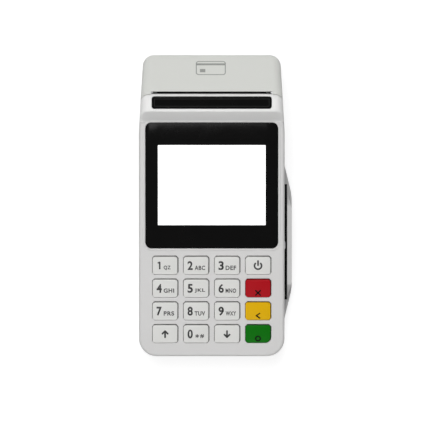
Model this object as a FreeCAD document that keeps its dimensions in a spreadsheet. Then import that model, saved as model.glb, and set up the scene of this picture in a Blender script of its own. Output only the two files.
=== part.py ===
import FreeCAD, Part
import math
import os
import Sketcher

# Mobile payment terminal: keypad, colour display, receipt printer with a hinged cover,
# chip card slot, swipe slot and battery.
# Lengths are in millimetres and angles in degrees.
# Frame: X to the right, Y from the keypad end towards the printer end, Z up.
# The origin is on the middle of the base face, on the body's mid-plane.

Vector = FreeCAD.Vector
ACROSS = Vector(1, 0, 0)

# Driving sizes. Places along the body are distances from the keypad end.
SIZES = {
    # case
    "body_length": 161.3,
    "body_width": 78.0,
    "far_taper": 2.4,
    "far_taper_length": 41.3,
    "near_corner_radius": 9.5,
    "far_corner_radius": 6.0,
    "taper_break_radius": 60.0,
    "wall": 2.0,
    "near_height": 24.0,
    "ramp_length": 5.4,
    "ramp_rise": 8.0,
    "ridge_length": 9.3,
    "far_height": 34.0,
    "parting_height": 10.0,
    "base_draft": 4.0,
    "base_edge_bevel": 1.3,
    "face_edge_radius": 1.5,
    "cover_edge_radius": 4.6,
    "ramp_foot_radius": 3.0,
    "part_gap": 0.3,
    # swipe slot and its rail
    "swipe_start": 19.0,
    "swipe_length": 84.5,
    "rail_start": 30.0,
    "rail_length": 59.0,
    "swipe_gap": 1.4,
    "rail_thickness": 2.5,
    "swipe_floor_drop": 15.5,
    "rail_drop": 5.0,
    "stripe_height": 9.0,
    "ledge_bottom": 3.0,
    "head_place": 59.5,
    "head_height": 5.0,
    "head_length": 8.0,
    "head_slack": 0.4,
    "post_radius": 1.5,
    "leaf_thickness": 0.4,
    "leaf_height": 4.0,
    "head_nose_radius": 3.0,
    # chip card slot
    "card_slot_width": 55.5,
    "card_slot_height": 1.6,
    "card_depth_below_face": 8.6,
    "reader_wall": 0.95,
    "reader_length": 46.0,
    "reader_thickness": 4.2,
    # keypad
    "key_length": 9.6,
    "key_bar_width": 3.2,
    "keypad_side_margin": 7.4,
    "key_corner_cut": 1.0,
    "enter_corner_radius": 3.0,
    "key_pitch_along": 12.35,
    "keypad_start": 12.1,
    "key_gap": 0.35,
    "key_lift_far": 1.1,
    "key_lift_near": 0.15,
    "key_edge_bevel": 0.3,
    "key_flange": 0.8,
    "flange_thickness": 0.8,
    "key_travel": 0.7,
    "plunger_width": 4.0,
    "dome_radius": 2.6,
    "dome_height": 0.3,
    # display
    "window_side_margin": 3.5,
    "window_near_gap": 4.26,
    "window_far_gap": 0.47,
    "window_corner_radius": 3.3,
    "window_thickness": 1.2,
    "screen_width": 57.6,
    "screen_length": 43.2,
    "screen_shift": 0.2,
    "display_border": 2.2,
    # indicator strip
    "strip_side_margin": 7.0,
    "strip_length": 6.6,
    "strip_corner_radius": 1.3,
    "strip_thickness": 1.0,
    "led_size": 1.6,
    "led_height": 0.8,
    "led_board_inset": 4.0,
    "led_board_length": 4.8,
    "led_board_thickness": 0.8,
    # board
    "board_thickness": 1.2,
    "board_depth": 5.4,
    "board_side_margin": 7.5,
    "board_start": 5.5,
    "board_far_gap": 9.3,
    "cell_radius": 6.25,
    "cell_thickness": 2.5,
    "cell_side_inset": 13.5,
    "cell_inset": 20.0,
    # printer
    "slot_side_margin": 6.5,
    "slot_gap": 1.3,
    "hinge_height": 12.0,
    "hinge_inset": 2.3,
    "hinge_pin_radius": 0.8,
    "lip_run": 4.4,
    "lip_drop": 6.2,
    "knuckle_length": 12.0,
    "roll_radius": 16.0,
    "roll_side_gap": 2.75,
    "roll_behind_slot": 0.2,
    "core_radius": 6.4,
    "core_wall": 1.2,
    "tray_wall": 1.0,
    "tray_gap": 0.5,
    "tray_far_gap": 1.3,
    "platen_behind_slot": 3.9,
    "platen_drop": 10.759,
    "platen_side_gap": 2.5,
    "roll_platen_gap": 1.528,
    "platen_radius": 3.5,
    "platen_shaft_radius": 1.3,
    "bush_radius": 2.6,
    "bush_width": 2.0,
    "plate_thickness": 1.2,
    "frame_side_margin": 7.5,
    "frame_drop": 9.5,
    "frame_foot_drop": 4.0,
    "frame_rise": 4.0,
    "head_gap": 0.3,
    "head_thickness": 2.0,
    "coil_radius": 1.6,
    "coil_length": 1.4,
    "gear_module": 0.4,
    "pinion_teeth": 10,
    "idler_teeth": 22,
    "platen_gear_teeth": 16,
    "gear_width": 1.6,
    "gear_backlash": 0.1,
    "motor_radius": 4.0,
    "motor_length": 12.0,
    "motor_run": 13.0,
    "motor_drop": 2.5,
    "motor_shaft_radius": 0.7,
    "stub_radius": 1.0,
    "running_gap": 0.05,
    # battery
    "door_side_margin": 12.0,
    "door_length": 77.5,
    "door_tongue": 1.2,
    "door_travel": 12.0,
    "battery_side_gap": 2.0,
    "battery_length": 62.0,
    "battery_height": 9.6,
    "battery_start": 12.5,
    "bay_wall": 1.4,
    # feet, screws and ports
    "foot_radius": 4.0,
    "foot_proud": 0.5,
    "foot_depth": 0.8,
    "foot_side_inset": 6.5,
    "foot_near_place": 16.0,
    "foot_far_inset": 19.3,
    "screw_radius": 1.0,
    "screw_head_radius": 1.8,
    "screw_head_height": 1.6,
    "screw_head_inset": 0.4,
    "screw_clearance": 0.2,
    "screw_reach": 4.0,
    "boss_radius": 2.2,
    "standoff_radius": 1.6,
    "screw_side_inset": 3.9,
    "screw_near_place": 25.0,
    "screw_ramp_gap": 4.6,
    "port_width": 9.2,
    "port_height": 3.4,
    "port_depth": 7.0,
    "port_place": 96.0,
}

# Sizes that follow from the driving sizes
FOLLOWING = {
    # widths across the body
    "far_width": "body_width - 2 * far_taper",
    "key_pitch_across": "(body_width - 2 * keypad_side_margin + key_bar_width) / 4",
    "key_width": "key_pitch_across - key_bar_width",
    "window_width": "body_width - 2 * window_side_margin",
    "strip_width": "body_width - 2 * strip_side_margin",
    "board_width": "body_width - 2 * board_side_margin",
    "reader_width": "card_slot_width + 2 * reader_wall",
    "slot_width": "body_width - 2 * slot_side_margin",
    "frame_width": "body_width - 2 * frame_side_margin",
    "platen_length": "frame_width - 2 * platen_side_gap",
    "roll_width": "frame_width - 2 * roll_side_gap",
    "door_width": "body_width - 2 * door_side_margin",
    "battery_width": "door_width - 2 * battery_side_gap",
    "foot_spacing_across": "body_width - 2 * foot_side_inset",
    "screw_spacing": "body_width - 2 * screw_side_inset",
    # heights, from the roll in its tray up to the paper slot
    "roll_height": "wall + tray_wall + tray_gap + roll_radius",
    "platen_reach": "roll_radius + platen_radius + roll_platen_gap",
    "platen_run": "platen_behind_slot - roll_behind_slot",
    "platen_height": "roll_height + sqrt(platen_reach ^ 2 - platen_run ^ 2)",
    "motor_height": "platen_height - motor_drop",
    "slot_height": "platen_height + platen_drop",
    # places along the body: the cover is as long as the tray needs, the face takes the rest
    "cover_length": "roll_behind_slot + roll_radius + tray_gap + tray_wall + tray_far_gap + wall",
    "slot_place": "body_length - cover_length",
    "ramp_start": "slot_place - ridge_length - ramp_length",
    "face_rise": "slot_height - near_height - ramp_rise",
    "face_tilt": "atan(face_rise / (ramp_start + ridge_length)) / 1 deg",
    "roll_place": "slot_place + roll_behind_slot",
    "platen_place": "slot_place + platen_behind_slot",
    "motor_place": "platen_place - motor_run",
    "keypad_length": "3 * key_pitch_along + key_length / 2",
    "window_start": "keypad_start + keypad_length * cos(face_tilt * 1 deg) + window_near_gap",
    "window_length": "(ramp_start - window_start) / cos(face_tilt * 1 deg) - window_far_gap",
    "screen_inset": "(window_length - screen_length) / 2 + screen_shift",
    "screen_start": "window_start + screen_inset * cos(face_tilt * 1 deg)",
    "board_length": "(ramp_start - board_start) / cos(face_tilt * 1 deg) - board_far_gap",
    "foot_far_place": "body_length - foot_far_inset",
    "screw_far_place": "ramp_start - screw_ramp_gap",
}

# Sides of the small repeated posts and their holes
POST_SIDES = 8
HEAD_SIDES = 12
FOOT_SIDES = 16

doc = FreeCAD.newDocument("payment_terminal")


# A size that keeps its number and the sheet expression that gives the same number
class Dim:
    def __init__(self, value, text):
        self.value = value
        self.text = text

    def __add__(self, other):
        return Dim(self.value + number(other), f"({self.text} + {words(other)})")

    def __radd__(self, other):
        return as_dim(other) + self

    def __sub__(self, other):
        return Dim(self.value - number(other), f"({self.text} - {words(other)})")

    def __rsub__(self, other):
        return as_dim(other) - self

    def __mul__(self, other):
        return Dim(self.value * number(other), f"({self.text} * {words(other)})")

    def __rmul__(self, other):
        return as_dim(other) * self

    def __truediv__(self, other):
        return Dim(self.value / number(other), f"({self.text} / {words(other)})")

    def __neg__(self):
        return Dim(-self.value, f"(0 - {self.text})")


def as_dim(item):
    return item if isinstance(item, Dim) else Dim(float(item), f"({float(item):.6f})")


def number(item):
    return as_dim(item).value


def words(item):
    return as_dim(item).text


def size(name):
    return Dim(float(sheet.get(name)), f"Sizes.{name}")


def sine(angle):
    return Dim(math.sin(math.radians(angle.value)), f"sin({angle.text} * 1 deg)")


def cosine(angle):
    return Dim(math.cos(math.radians(angle.value)), f"cos({angle.text} * 1 deg)")


def tangent(angle):
    return Dim(math.tan(math.radians(angle.value)), f"tan({angle.text} * 1 deg)")


def bind(item, name, dim):
    dim = as_dim(dim)
    item.setExpression(name, dim.text)


def make_sheet():
    table = doc.addObject("Spreadsheet::Sheet", "Sizes")
    formulas = {name: "=" + formula for name, formula in FOLLOWING.items()}
    for row, (name, value) in enumerate({**SIZES, **formulas}.items(), start=1):
        table.set(f"A{row}", name)
        table.set(f"B{row}", str(value))
        table.setAlias(f"B{row}", name)
    doc.recompute()
    return table


sheet = make_sheet()


# Places that many pieces share
near = -size("body_length") / 2
far = size("body_length") / 2
half_width = size("body_width") / 2
wall = size("wall")
gap = size("part_gap")
tilt = size("face_tilt")
parting = size("parting_height")
ramp_y = near + size("ramp_start")
ridge_y = ramp_y + size("ramp_length")
slot_y = ridge_y + size("ridge_length")
face_top = size("near_height") + size("ramp_start") * tangent(tilt)
top_z = size("slot_height")
ridge_z = top_z - size("ridge_length") * tangent(tilt)
cover_y = slot_y + size("slot_gap")
hinge_y = far - size("hinge_inset")
hinge_z = size("hinge_height")
roll_y = near + size("roll_place")
platen_y = near + size("platen_place")
platen_z = size("platen_height")


# Placing helpers

def place(item, x, y, z, turn=None, axis=ACROSS):
    x, y, z = as_dim(x), as_dim(y), as_dim(z)
    angle = 0.0 if turn is None else turn.value
    item.Placement = FreeCAD.Placement(Vector(x.value, y.value, z.value), FreeCAD.Rotation(axis, angle))
    bind(item, "Placement.Base.x", x)
    bind(item, "Placement.Base.y", y)
    bind(item, "Placement.Base.z", z)
    if turn is not None:
        bind(item, "Placement.Rotation.Angle", turn)
    return item


# A point of the tilted face: across, along the face from the keypad end, and above the face
def on_face(along, above):
    y = near + along * cosine(tilt) - above * sine(tilt)
    z = size("near_height") + along * sine(tilt) + above * cosine(tilt)
    return y, z


# Height of the face above the base at a place along the body
def face_level(y):
    return size("near_height") + (y - near) * tangent(tilt)


# Distance along the tilted face of a point that is given by its plan distance
def along_face(plan_distance):
    return plan_distance / cosine(tilt)


def check(item):
    bad = [word for word in item.State if word in ("Invalid", "Error")]
    if bad or item.Shape.isNull() or not item.Shape.isValid():
        raise RuntimeError(f"{item.Label} is not sound: {item.State}")
    return item


def block(name, low, high):
    item = doc.addObject("Part::Box", name)
    for axis, (start, end) in zip(("Length", "Width", "Height"), zip(low, high)):
        bind(item, axis, as_dim(end) - start)
    return place(item, *low)


# A block in the tilted face's own directions: across, along, above
def face_block(name, low, high):
    item = doc.addObject("Part::Box", name)
    for axis, (start, end) in zip(("Length", "Width", "Height"), zip(low, high)):
        bind(item, axis, as_dim(end) - start)
    y, z = on_face(as_dim(low[1]), as_dim(low[2]))
    return place(item, low[0], y, z, tilt)


def rod_across(name, radius, x_start, x_end, y, z):
    item = doc.addObject("Part::Cylinder", name)
    bind(item, "Radius", radius)
    bind(item, "Height", as_dim(x_end) - x_start)
    place(item, x_start, y, z)
    item.Placement.Rotation = FreeCAD.Rotation(Vector(0, 1, 0), 90)
    return item


def rod_up(name, radius, x, y, z_start, z_end):
    item = doc.addObject("Part::Cylinder", name)
    bind(item, "Radius", radius)
    bind(item, "Height", as_dim(z_end) - z_start)
    return place(item, x, y, z_start)


# Circumradius of a post with flat sides that is as wide across its flats as a round one
def over_flats(radius, sides):
    return as_dim(radius) / math.cos(math.pi / sides)


def post_up(name, radius, sides, x, y, z_start, z_end):
    item = doc.addObject("Part::Prism", name)
    item.Polygon = sides
    bind(item, "Circumradius", over_flats(radius, sides))
    bind(item, "Height", as_dim(z_end) - z_start)
    return place(item, x, y, z_start)


def post_across(name, radius, sides, x_start, x_end, y, z):
    item = doc.addObject("Part::Prism", name)
    item.Polygon = sides
    bind(item, "Circumradius", over_flats(radius, sides))
    bind(item, "Height", as_dim(x_end) - x_start)
    place(item, x_start, y, z)
    item.Placement.Rotation = FreeCAD.Rotation(Vector(0, 1, 0), 90)
    return item


def join(name, pieces):
    item = doc.addObject("Part::MultiFuse", name)
    item.Shapes = pieces
    item.Refine = True
    return item


def overlap(name, pieces):
    item = doc.addObject("Part::MultiCommon", name)
    item.Shapes = pieces
    item.Refine = True
    return item


def cut(name, base, tools):
    tool = tools[0]
    if len(tools) > 1:
        tool = join(name + "_tools", tools)
    item = doc.addObject("Part::Cut", name)
    item.Base = base
    item.Tool = tool
    item.Refine = True
    return item


# Solids that stay apart from each other but are one kind of piece, such as feet
def group(name, pieces):
    item = doc.addObject("Part::Compound", name)
    item.Links = pieces
    return item


# Sketch helpers

def origin_plane(body, role):
    return [item for item in body.Origin.OriginFeatures if item.Role == role][0]


def sketch_on(body, role, name, offset=None):
    sketch = body.newObject("Sketcher::SketchObject", name)
    sketch.AttachmentSupport = [(origin_plane(body, role), "")]
    sketch.MapMode = "FlatFace"
    if offset is not None:
        bind(sketch, "AttachmentOffset.Base.z", offset)
    return sketch


# A closed outline through corner points, each with its own rounding radius or None
def draw_outline(sketch, corners):
    points = [(as_dim(corner[0]), as_dim(corner[1])) for corner in corners]
    count = len(points)
    first = len(sketch.Geometry)
    for index in range(count):
        start = points[index]
        end = points[(index + 1) % count]
        sketch.addGeometry(Part.LineSegment(Vector(start[0].value, start[1].value, 0),
                                            Vector(end[0].value, end[1].value, 0)))
    for index in range(count):
        following = first + (index + 1) % count
        sketch.addConstraint(Sketcher.Constraint("Coincident", first + index, 2, following, 1))
    for index, point in enumerate(points):
        for kind, dim in zip(("DistanceX", "DistanceY"), point):
            number_of = sketch.addConstraint(
                Sketcher.Constraint(kind, -1, 1, first + index, 1, dim.value))
            sketch.setExpression(f"Constraints[{number_of}]", dim.text)
    for index, corner in enumerate(corners):
        if len(corner) > 2 and corner[2] is not None:
            round_corner(sketch, first + index, as_dim(corner[2]))


def round_corner(sketch, line, radius):
    before = len(sketch.Geometry)
    sketch.fillet(line, 1, radius.value, True, True)
    arcs = [item for item in range(before, len(sketch.Geometry))
            if isinstance(sketch.Geometry[item], Part.ArcOfCircle)]
    number_of = sketch.addConstraint(Sketcher.Constraint("Radius", arcs[0], radius.value))
    sketch.setExpression(f"Constraints[{number_of}]", radius.text)


def rectangle(width, length, radius=None, centre_y=0.0):
    half = as_dim(width) / 2
    low = as_dim(centre_y) - as_dim(length) / 2
    high = as_dim(centre_y) + as_dim(length) / 2
    return [(-half, low, radius), (half, low, radius), (half, high, radius), (-half, high, radius)]


def pad(body, sketch, length, both_ways=False):
    feature = body.newObject("PartDesign::Pad", sketch.Name + "_pad")
    feature.Profile = sketch
    bind(feature, "Length", length)
    if both_ways:
        feature.SideType = "Symmetric"
    sketch.Visibility = False
    return feature


def loft(body, first, second):
    feature = body.newObject("PartDesign::AdditiveLoft", first.Name + "_loft")
    feature.Profile = first
    feature.Sections = [second]
    feature.Ruled = True
    for sketch in (first, second):
        sketch.Visibility = False
    return feature


# Cuts an outline drawn in the side view right through the body, both ways from the mid-plane
def side_pocket(body, name, corners, reach):
    sketch = sketch_on(body, "YZ_Plane", name)
    draw_outline(sketch, corners)
    doc.recompute()
    before = body.Shape.Volume
    feature = body.newObject("PartDesign::Pocket", name + "_cut")
    feature.Profile = sketch
    feature.SideType = "Symmetric"
    bind(feature, "Length", reach)
    doc.recompute()
    if body.Shape.Volume >= before:
        raise RuntimeError(f"{name} cut nothing")
    return feature


def ease_edges(body, kind, amount, chosen):
    doc.recompute()
    base = body.Tip
    names = [f"Edge{index + 1}" for index, edge in enumerate(base.Shape.Edges) if chosen(edge)]
    if not names:
        raise RuntimeError(f"{body.Label}: no edge to ease")
    feature = body.newObject(f"PartDesign::{kind}", f"{body.Name}_{kind.lower()}")
    feature.Base = (base, names)
    bind(feature, "Radius" if kind == "Fillet" else "Size", amount)
    doc.recompute()
    return feature


def round_edges(body, radius, chosen):
    return ease_edges(body, "Fillet", radius, chosen)


def bevel_edges(body, amount, chosen):
    return ease_edges(body, "Chamfer", amount, chosen)


def new_body(name):
    return doc.addObject("PartDesign::Body", name)


# A flat plate with rounded corners, made level at the origin and then placed
def plate(name, width, length, thickness, radius):
    body = new_body(name)
    sketch = sketch_on(body, "XY_Plane", name + "_outline")
    draw_outline(sketch, rectangle(width, length, radius))
    pad(body, sketch, thickness)
    return body


# A profile drawn in the side view and padded evenly to both sides of the mid-plane
def side_prism(name, corners, width):
    body = new_body(name)
    sketch = sketch_on(body, "YZ_Plane", name + "_profile")
    draw_outline(sketch, corners)
    pad(body, sketch, width, both_ways=True)
    return body


# The case's outer shape, and the hollow inside it

def root(dim):
    return Dim(math.sqrt(dim.value), f"sqrt({dim.text})")


# Unit normal of the side-view line from start to end, pointing down into the case
def inward(start, end):
    run = end[0] - start[0]
    rise = end[1] - start[1]
    reach = root(run * run + rise * rise)
    return rise / reach, -(run / reach)


# The side-view line of the top, moved into the case by a distance
def top_line(inset):
    overrun = 5
    cover_fall = (top_z - size("far_height")) / (far - slot_y)
    points = [
        (near - overrun, size("near_height") - overrun * tangent(tilt)),
        (ramp_y, face_top),
        (ridge_y, ridge_z),
        (slot_y, top_z),
        (far + overrun, size("far_height") - overrun * cover_fall),
    ]
    normals = [inward(points[index], points[index + 1]) for index in range(len(points) - 1)]
    moved = []
    for index, (y, z) in enumerate(points):
        first = normals[max(index - 1, 0)]
        second = normals[min(index, len(normals) - 1)]
        shared = 1 + first[0] * second[0] + first[1] * second[1]
        moved.append((y + inset * (first[0] + second[0]) / shared,
                      z + inset * (first[1] + second[1]) / shared))
    return moved


def case_outline(inset):
    half = half_width - inset
    far_half = size("far_width") / 2 - inset
    near_radius = size("near_corner_radius") - inset
    far_radius = size("far_corner_radius") - inset
    break_y = far - size("far_taper_length")
    break_radius = size("taper_break_radius")
    return [(-half, near + inset, near_radius), (half, near + inset, near_radius),
            (half, break_y, break_radius), (far_half, far - inset, far_radius),
            (-far_half, far - inset, far_radius), (-half, break_y, break_radius)]


# The case's shape above a level, moved inwards on every side by a distance
def case_form(name, inset, level):
    body = new_body(name)
    upper = sketch_on(body, "XY_Plane", name + "_upper", level)
    draw_outline(upper, case_outline(inset))
    pad(body, upper, top_z - level)
    top = top_line(as_dim(inset))
    foot = (top[1][0], top[1][1], size("ramp_foot_radius"))
    above = top_z + 10
    side_pocket(body, name + "_top", [top[0], foot] + top[2:] + [(top[-1][0], above), (top[0][0], above)],
                size("body_width") + 10)
    return body


def is_side_edge(edge):
    box = edge.BoundBox
    return box.XMin * box.XMax > 0


# The outside: the sides of the part below the parting line lean in towards the base
def make_outer_form():
    body = case_form("outer_form", 0, parting)
    rim = sketch_on(body, "XY_Plane", "base_rim", parting)
    draw_outline(rim, case_outline(0))
    base = sketch_on(body, "XY_Plane", "base_outline", 0)
    draw_outline(base, case_outline(parting * tangent(size("base_draft"))))
    loft(body, rim, base)
    ridge_start = ridge_y.value
    lowest_cover = size("far_height").value
    slack = 0.01

    def on_cover(edge):
        box = edge.BoundBox
        raised = box.YMin > ridge_start - slack and box.ZMin > lowest_cover - slack
        across_far_end = box.XMin * box.XMax < 0 and box.YMin > far.value - slack
        return raised and (is_side_edge(edge) or across_far_end) and box.ZMax > lowest_cover - slack

    def vertical(edge):
        box = edge.BoundBox
        return box.YMax - box.YMin < slack and box.XMax - box.XMin < slack

    round_edges(body, size("cover_edge_radius"), lambda edge: on_cover(edge) and not vertical(edge))

    def on_face_rim(edge):
        box = edge.BoundBox
        level = size("near_height").value
        crosses_near_end = box.XMin * box.XMax < 0 and box.YMax < near.value + slack
        rim = box.ZMin > level - slack and box.YMax < ramp_y.value + slack
        return rim and (is_side_edge(edge) or crosses_near_end) and not vertical(edge)

    round_edges(body, size("face_edge_radius"), on_face_rim)

    def on_base_rim(edge):
        return edge.BoundBox.ZMax < slack

    bevel_edges(body, size("base_edge_bevel"), on_base_rim)
    return body


# Where the cover parts from the case, seen from the side: from the paper slot down to the hinge.
# A positive distance moves the line out of the cover, into the case.
def cover_line(distance):
    knuckle = size("hinge_inset")
    points = [
        (slot_y, top_z),
        (slot_y - size("lip_run"), top_z - size("lip_drop")),
        (hinge_y - knuckle, hinge_z),
    ]
    normals = [inward(points[0], points[1]), inward(points[1], points[2])]
    shared = 1 + normals[0][0] * normals[1][0] + normals[0][1] * normals[1][1]
    bend = ((normals[0][0] + normals[1][0]) / shared, (normals[0][1] + normals[1][1]) / shared)
    steps = [normals[0], bend, normals[1]]
    return [(point[0] + distance * step[0], point[1] + distance * step[1])
            for point, step in zip(points, steps)]


def cover_zone(name, distance, step_down=0):
    start, bend, end = cover_line(as_dim(distance))
    beyond = far + 10
    above = top_z + 12
    climb = (start[0] - bend[0]) / (start[1] - bend[1])
    top_start = (start[0] + climb * (above - start[1]), above)
    corners = [top_start, bend, end]
    floor = end[1]
    if number(step_down) > 0:
        floor = hinge_z - step_down
        corners.append((end[0], floor))
    corners += [(beyond, floor), (beyond, above)]
    return side_prism(name, corners, size("body_width") + 20)


def make_shells():
    outer = make_outer_form()
    inner = case_form("inner_form", wall, wall)
    knuckle = size("hinge_inset")
    cleared = cover_zone("cleared_zone", gap, knuckle + 2 * gap)
    covered = cover_zone("covered_zone", 0)
    reach = half_width + 10
    over = block("upper_zone", (-reach, near - 10, parting), (reach, far + 10, top_z + 10))
    under = block("lower_zone", (-reach, near - 10, -5), (reach, far + 10, parting))
    top = cut("top_shell", overlap("top_solid", [outer, over]), [inner, cleared])
    bottom = cut("bottom_shell", overlap("bottom_solid", [outer, under]), [inner, cleared])
    lid = cut("cover_shell", overlap("cover_solid", [outer, covered]), [inner])
    return outer, top, bottom, lid


# Keypad

KEY_NAMES = [
    ["key_1", "key_2", "key_3", "key_power"],
    ["key_4", "key_5", "key_6", "key_cancel"],
    ["key_7", "key_8", "key_9", "key_clear"],
    ["key_up", "key_0", "key_down", "key_enter"],
]
KEY_ROWS = len(KEY_NAMES)
KEY_COLUMNS = len(KEY_NAMES[0])


# Place of a key's middle: across the keypad, and along the tilted face
def key_place(row, column):
    across = (column - (KEY_COLUMNS - 1) / 2) * size("key_pitch_across")
    along = along_face(size("keypad_start")) + (KEY_ROWS - 1 - row) * size("key_pitch_along")
    return across, along


# Outline of a key, or of its opening, which is wider all round by a clearance.
# The corners are cut off, apart from the enter key's one large round corner.
def key_outline(name, clearance):
    half_x = size("key_width") / 2 + clearance
    half_y = size("key_length") / 2 + clearance
    trim = size("key_corner_cut") + clearance * (2 - math.sqrt(2))
    corners = []
    for right, up in ((-1, -1), (1, -1), (1, 1), (-1, 1)):
        x = right * half_x
        y = up * half_y
        if name == "key_enter" and (right, up) == (1, -1):
            corners.append((x, y, size("enter_corner_radius") + clearance))
        elif right == up:
            corners += [(x, y - up * trim), (x - right * trim, y)]
        else:
            corners += [(x - right * trim, y), (x, y - up * trim)]
    return corners


def put_on_face(item, across, along, above):
    y, z = on_face(along, as_dim(above))
    return place(item, across, y, z, tilt)


flange_top = -(wall + 0.1)
flange_bottom = flange_top - size("flange_thickness")
mat_top = flange_bottom - size("key_travel") - 0.2
board_top = -size("board_depth")
dome_top = board_top + size("dome_height")
plunger_end = dome_top + size("key_travel") + 0.1


# A cap that stands proud at its far edge and lies almost flush at its near edge,
# with a holding flange below the case wall and a plunger over its dome
def make_key(name, row, column):
    body = new_body(name)
    width = size("key_width")
    length = size("key_length")
    sketch = sketch_on(body, "XY_Plane", name + "_outline", flange_top)
    draw_outline(sketch, key_outline(name, as_dim(0)))
    pad(body, sketch, size("key_lift_far") - flange_top)
    high = size("key_lift_far") + 1
    side_pocket(body, name + "_slope", [
        (-length / 2 - 1, size("key_lift_near")), (-length / 2, size("key_lift_near")),
        (length / 2, size("key_lift_far")), (length / 2 + 1, high), (-length / 2 - 1, high)], width + 4)

    def top_rim(edge):
        box = edge.BoundBox
        return box.ZMin > 0.0

    bevel_edges(body, size("key_edge_bevel"), top_rim)
    flange = sketch_on(body, "XY_Plane", name + "_flange", flange_bottom)
    draw_outline(flange, rectangle(width + 2 * size("key_flange"), length + 2 * size("key_flange")))
    pad(body, flange, size("flange_thickness"))
    plunger = sketch_on(body, "XY_Plane", name + "_plunger", plunger_end)
    draw_outline(plunger, rectangle(size("plunger_width"), size("plunger_width")))
    pad(body, plunger, flange_bottom - plunger_end)
    across, along = key_place(row, column)
    return put_on_face(body, across, along, 0)


def make_key_opening(name, row, column):
    body = new_body(name + "_opening")
    sketch = sketch_on(body, "XY_Plane", name + "_opening_outline")
    draw_outline(sketch, key_outline(name, size("key_gap")))
    pad(body, sketch, wall + 6, both_ways=True)
    across, along = key_place(row, column)
    return put_on_face(body, across, along, 0)


def each_key():
    for row, names in enumerate(KEY_NAMES):
        for column, name in enumerate(names):
            yield name, row, column


# One silicone mat with a square hole round every plunger
def make_keypad_mat():
    hole = size("plunger_width") + 2.4
    edge = 1.0
    width = (KEY_COLUMNS - 1) * size("key_pitch_across") + size("key_width") + edge
    start = along_face(size("keypad_start")) - size("key_length") / 2 - edge / 2
    length = (KEY_ROWS - 1) * size("key_pitch_along") + size("key_length") + edge
    sheet_block = face_block("mat_sheet", (-width / 2, start, board_top), (width / 2, start + length, mat_top))
    holes = []
    for name, row, column in each_key():
        across, along = key_place(row, column)
        holes.append(face_block(name + "_mat_hole",
                                (across - hole / 2, along - hole / 2, board_top - 1),
                                (across + hole / 2, along + hole / 2, mat_top + 1)))
    return cut("keypad_mat", sheet_block, holes)


# Thin eight-sided snap domes on the board, one under each plunger
def make_key_domes():
    domes = []
    for name, row, column in each_key():
        across, along = key_place(row, column)
        cap = doc.addObject("Part::Prism", name + "_dome")
        cap.Polygon = 8
        bind(cap, "Circumradius", size("dome_radius"))
        bind(cap, "Height", size("dome_height"))
        domes.append(put_on_face(cap, across, along, board_top))
    return group("key_domes", domes)


# Display and indicator strip

window_along = along_face(size("window_start")) + size("window_length") / 2
screen_along = along_face(size("screen_start")) + size("screen_length") / 2


def make_display_window():
    body = plate("display_window", size("window_width"), size("window_length"),
                 size("window_thickness"), size("window_corner_radius"))
    return put_on_face(body, 0, window_along, -size("window_thickness"))


def make_window_recess():
    clear = 0.1
    body = plate("window_recess", size("window_width") + 2 * clear, size("window_length") + 2 * clear,
                 size("window_thickness") + 3, size("window_corner_radius") + clear)
    return put_on_face(body, 0, window_along, -size("window_thickness"))


def display_block(name, grow, low, high):
    half = size("screen_width") / 2 + size("display_border") + grow
    reach = size("screen_length") / 2 + size("display_border") + grow
    return face_block(name, (-half, screen_along - reach, low), (half, screen_along + reach, high))


def make_display():
    frame_top = -size("window_thickness") - 0.2
    return display_block("lcd_module", 0, board_top, frame_top)


# A point of the ridge, which is parallel to the face
def on_ridge(along, above):
    y = ridge_y + along * cosine(tilt) - above * sine(tilt)
    z = ridge_z + along * sine(tilt) + above * cosine(tilt)
    return y, z


def ridge_block(name, low, high):
    item = doc.addObject("Part::Box", name)
    for axis, (start, end) in zip(("Length", "Width", "Height"), zip(low, high)):
        bind(item, axis, as_dim(end) - start)
    y, z = on_ridge(as_dim(low[1]), as_dim(low[2]))
    return place(item, low[0], y, z, tilt)


strip_along = along_face(size("ridge_length")) / 2


def make_strip(name, clear, extra):
    body = plate(name, size("strip_width") + 2 * clear, size("strip_length") + 2 * clear,
                 size("strip_thickness") + extra, size("strip_corner_radius") + clear)
    y, z = on_ridge(strip_along, -size("strip_thickness"))
    return place(body, 0, y, z, tilt)


LED_COUNT = 4
led_board_top = -(wall + 0.4)


def led_place(index):
    return (index - (LED_COUNT - 1) / 2) * size("strip_width") / (LED_COUNT + 0.5)


def make_leds():
    half = size("led_size") / 2
    leds = []
    for index in range(LED_COUNT):
        across = led_place(index)
        leds.append(ridge_block(f"led_{index + 1}", (across - half, strip_along - half, led_board_top),
                                (across + half, strip_along + half,
                                 led_board_top + size("led_height"))))
    return group("indicator_leds", leds)


def make_led_board():
    half = size("strip_width") / 2 - size("led_board_inset")
    reach = size("led_board_length") / 2
    return ridge_block("indicator_board", (-half, strip_along - reach, led_board_top - size("led_board_thickness")),
                       (half, strip_along + reach, led_board_top))


# Board and the readers under it

board_bottom = board_top - size("board_thickness")


def make_board():
    half = size("board_width") / 2
    start = along_face(size("board_start"))
    return face_block("main_board", (-half, start, board_bottom),
                      (half, start + size("board_length"), board_top))


# Card slot: its middle height below the face, and the reader's box round it
slot_depth = -size("card_depth_below_face")
reader_top = board_bottom - 0.1
reader_start = along_face(size("wall")) + 0.4


def card_gap(name, grow, start, end):
    half = size("card_slot_width") / 2 + grow
    thick = size("card_slot_height") / 2 + grow
    return face_block(name, (-half, start, slot_depth - thick), (half, end, slot_depth + thick))


# Reader frame with the card's pocket, open towards the keypad end
def make_card_reader():
    half = size("reader_width") / 2
    frame = face_block("reader_block", (-half, reader_start, reader_top - size("reader_thickness")),
                       (half, reader_start + size("reader_length"), reader_top))
    pocket = card_gap("reader_pocket", 0, reader_start - 1, reader_start + size("reader_length") - 2)
    return cut("chip_card_reader", frame, [pocket])


CONTACT_ROWS = 2
CONTACTS_PER_ROW = 4


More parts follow.
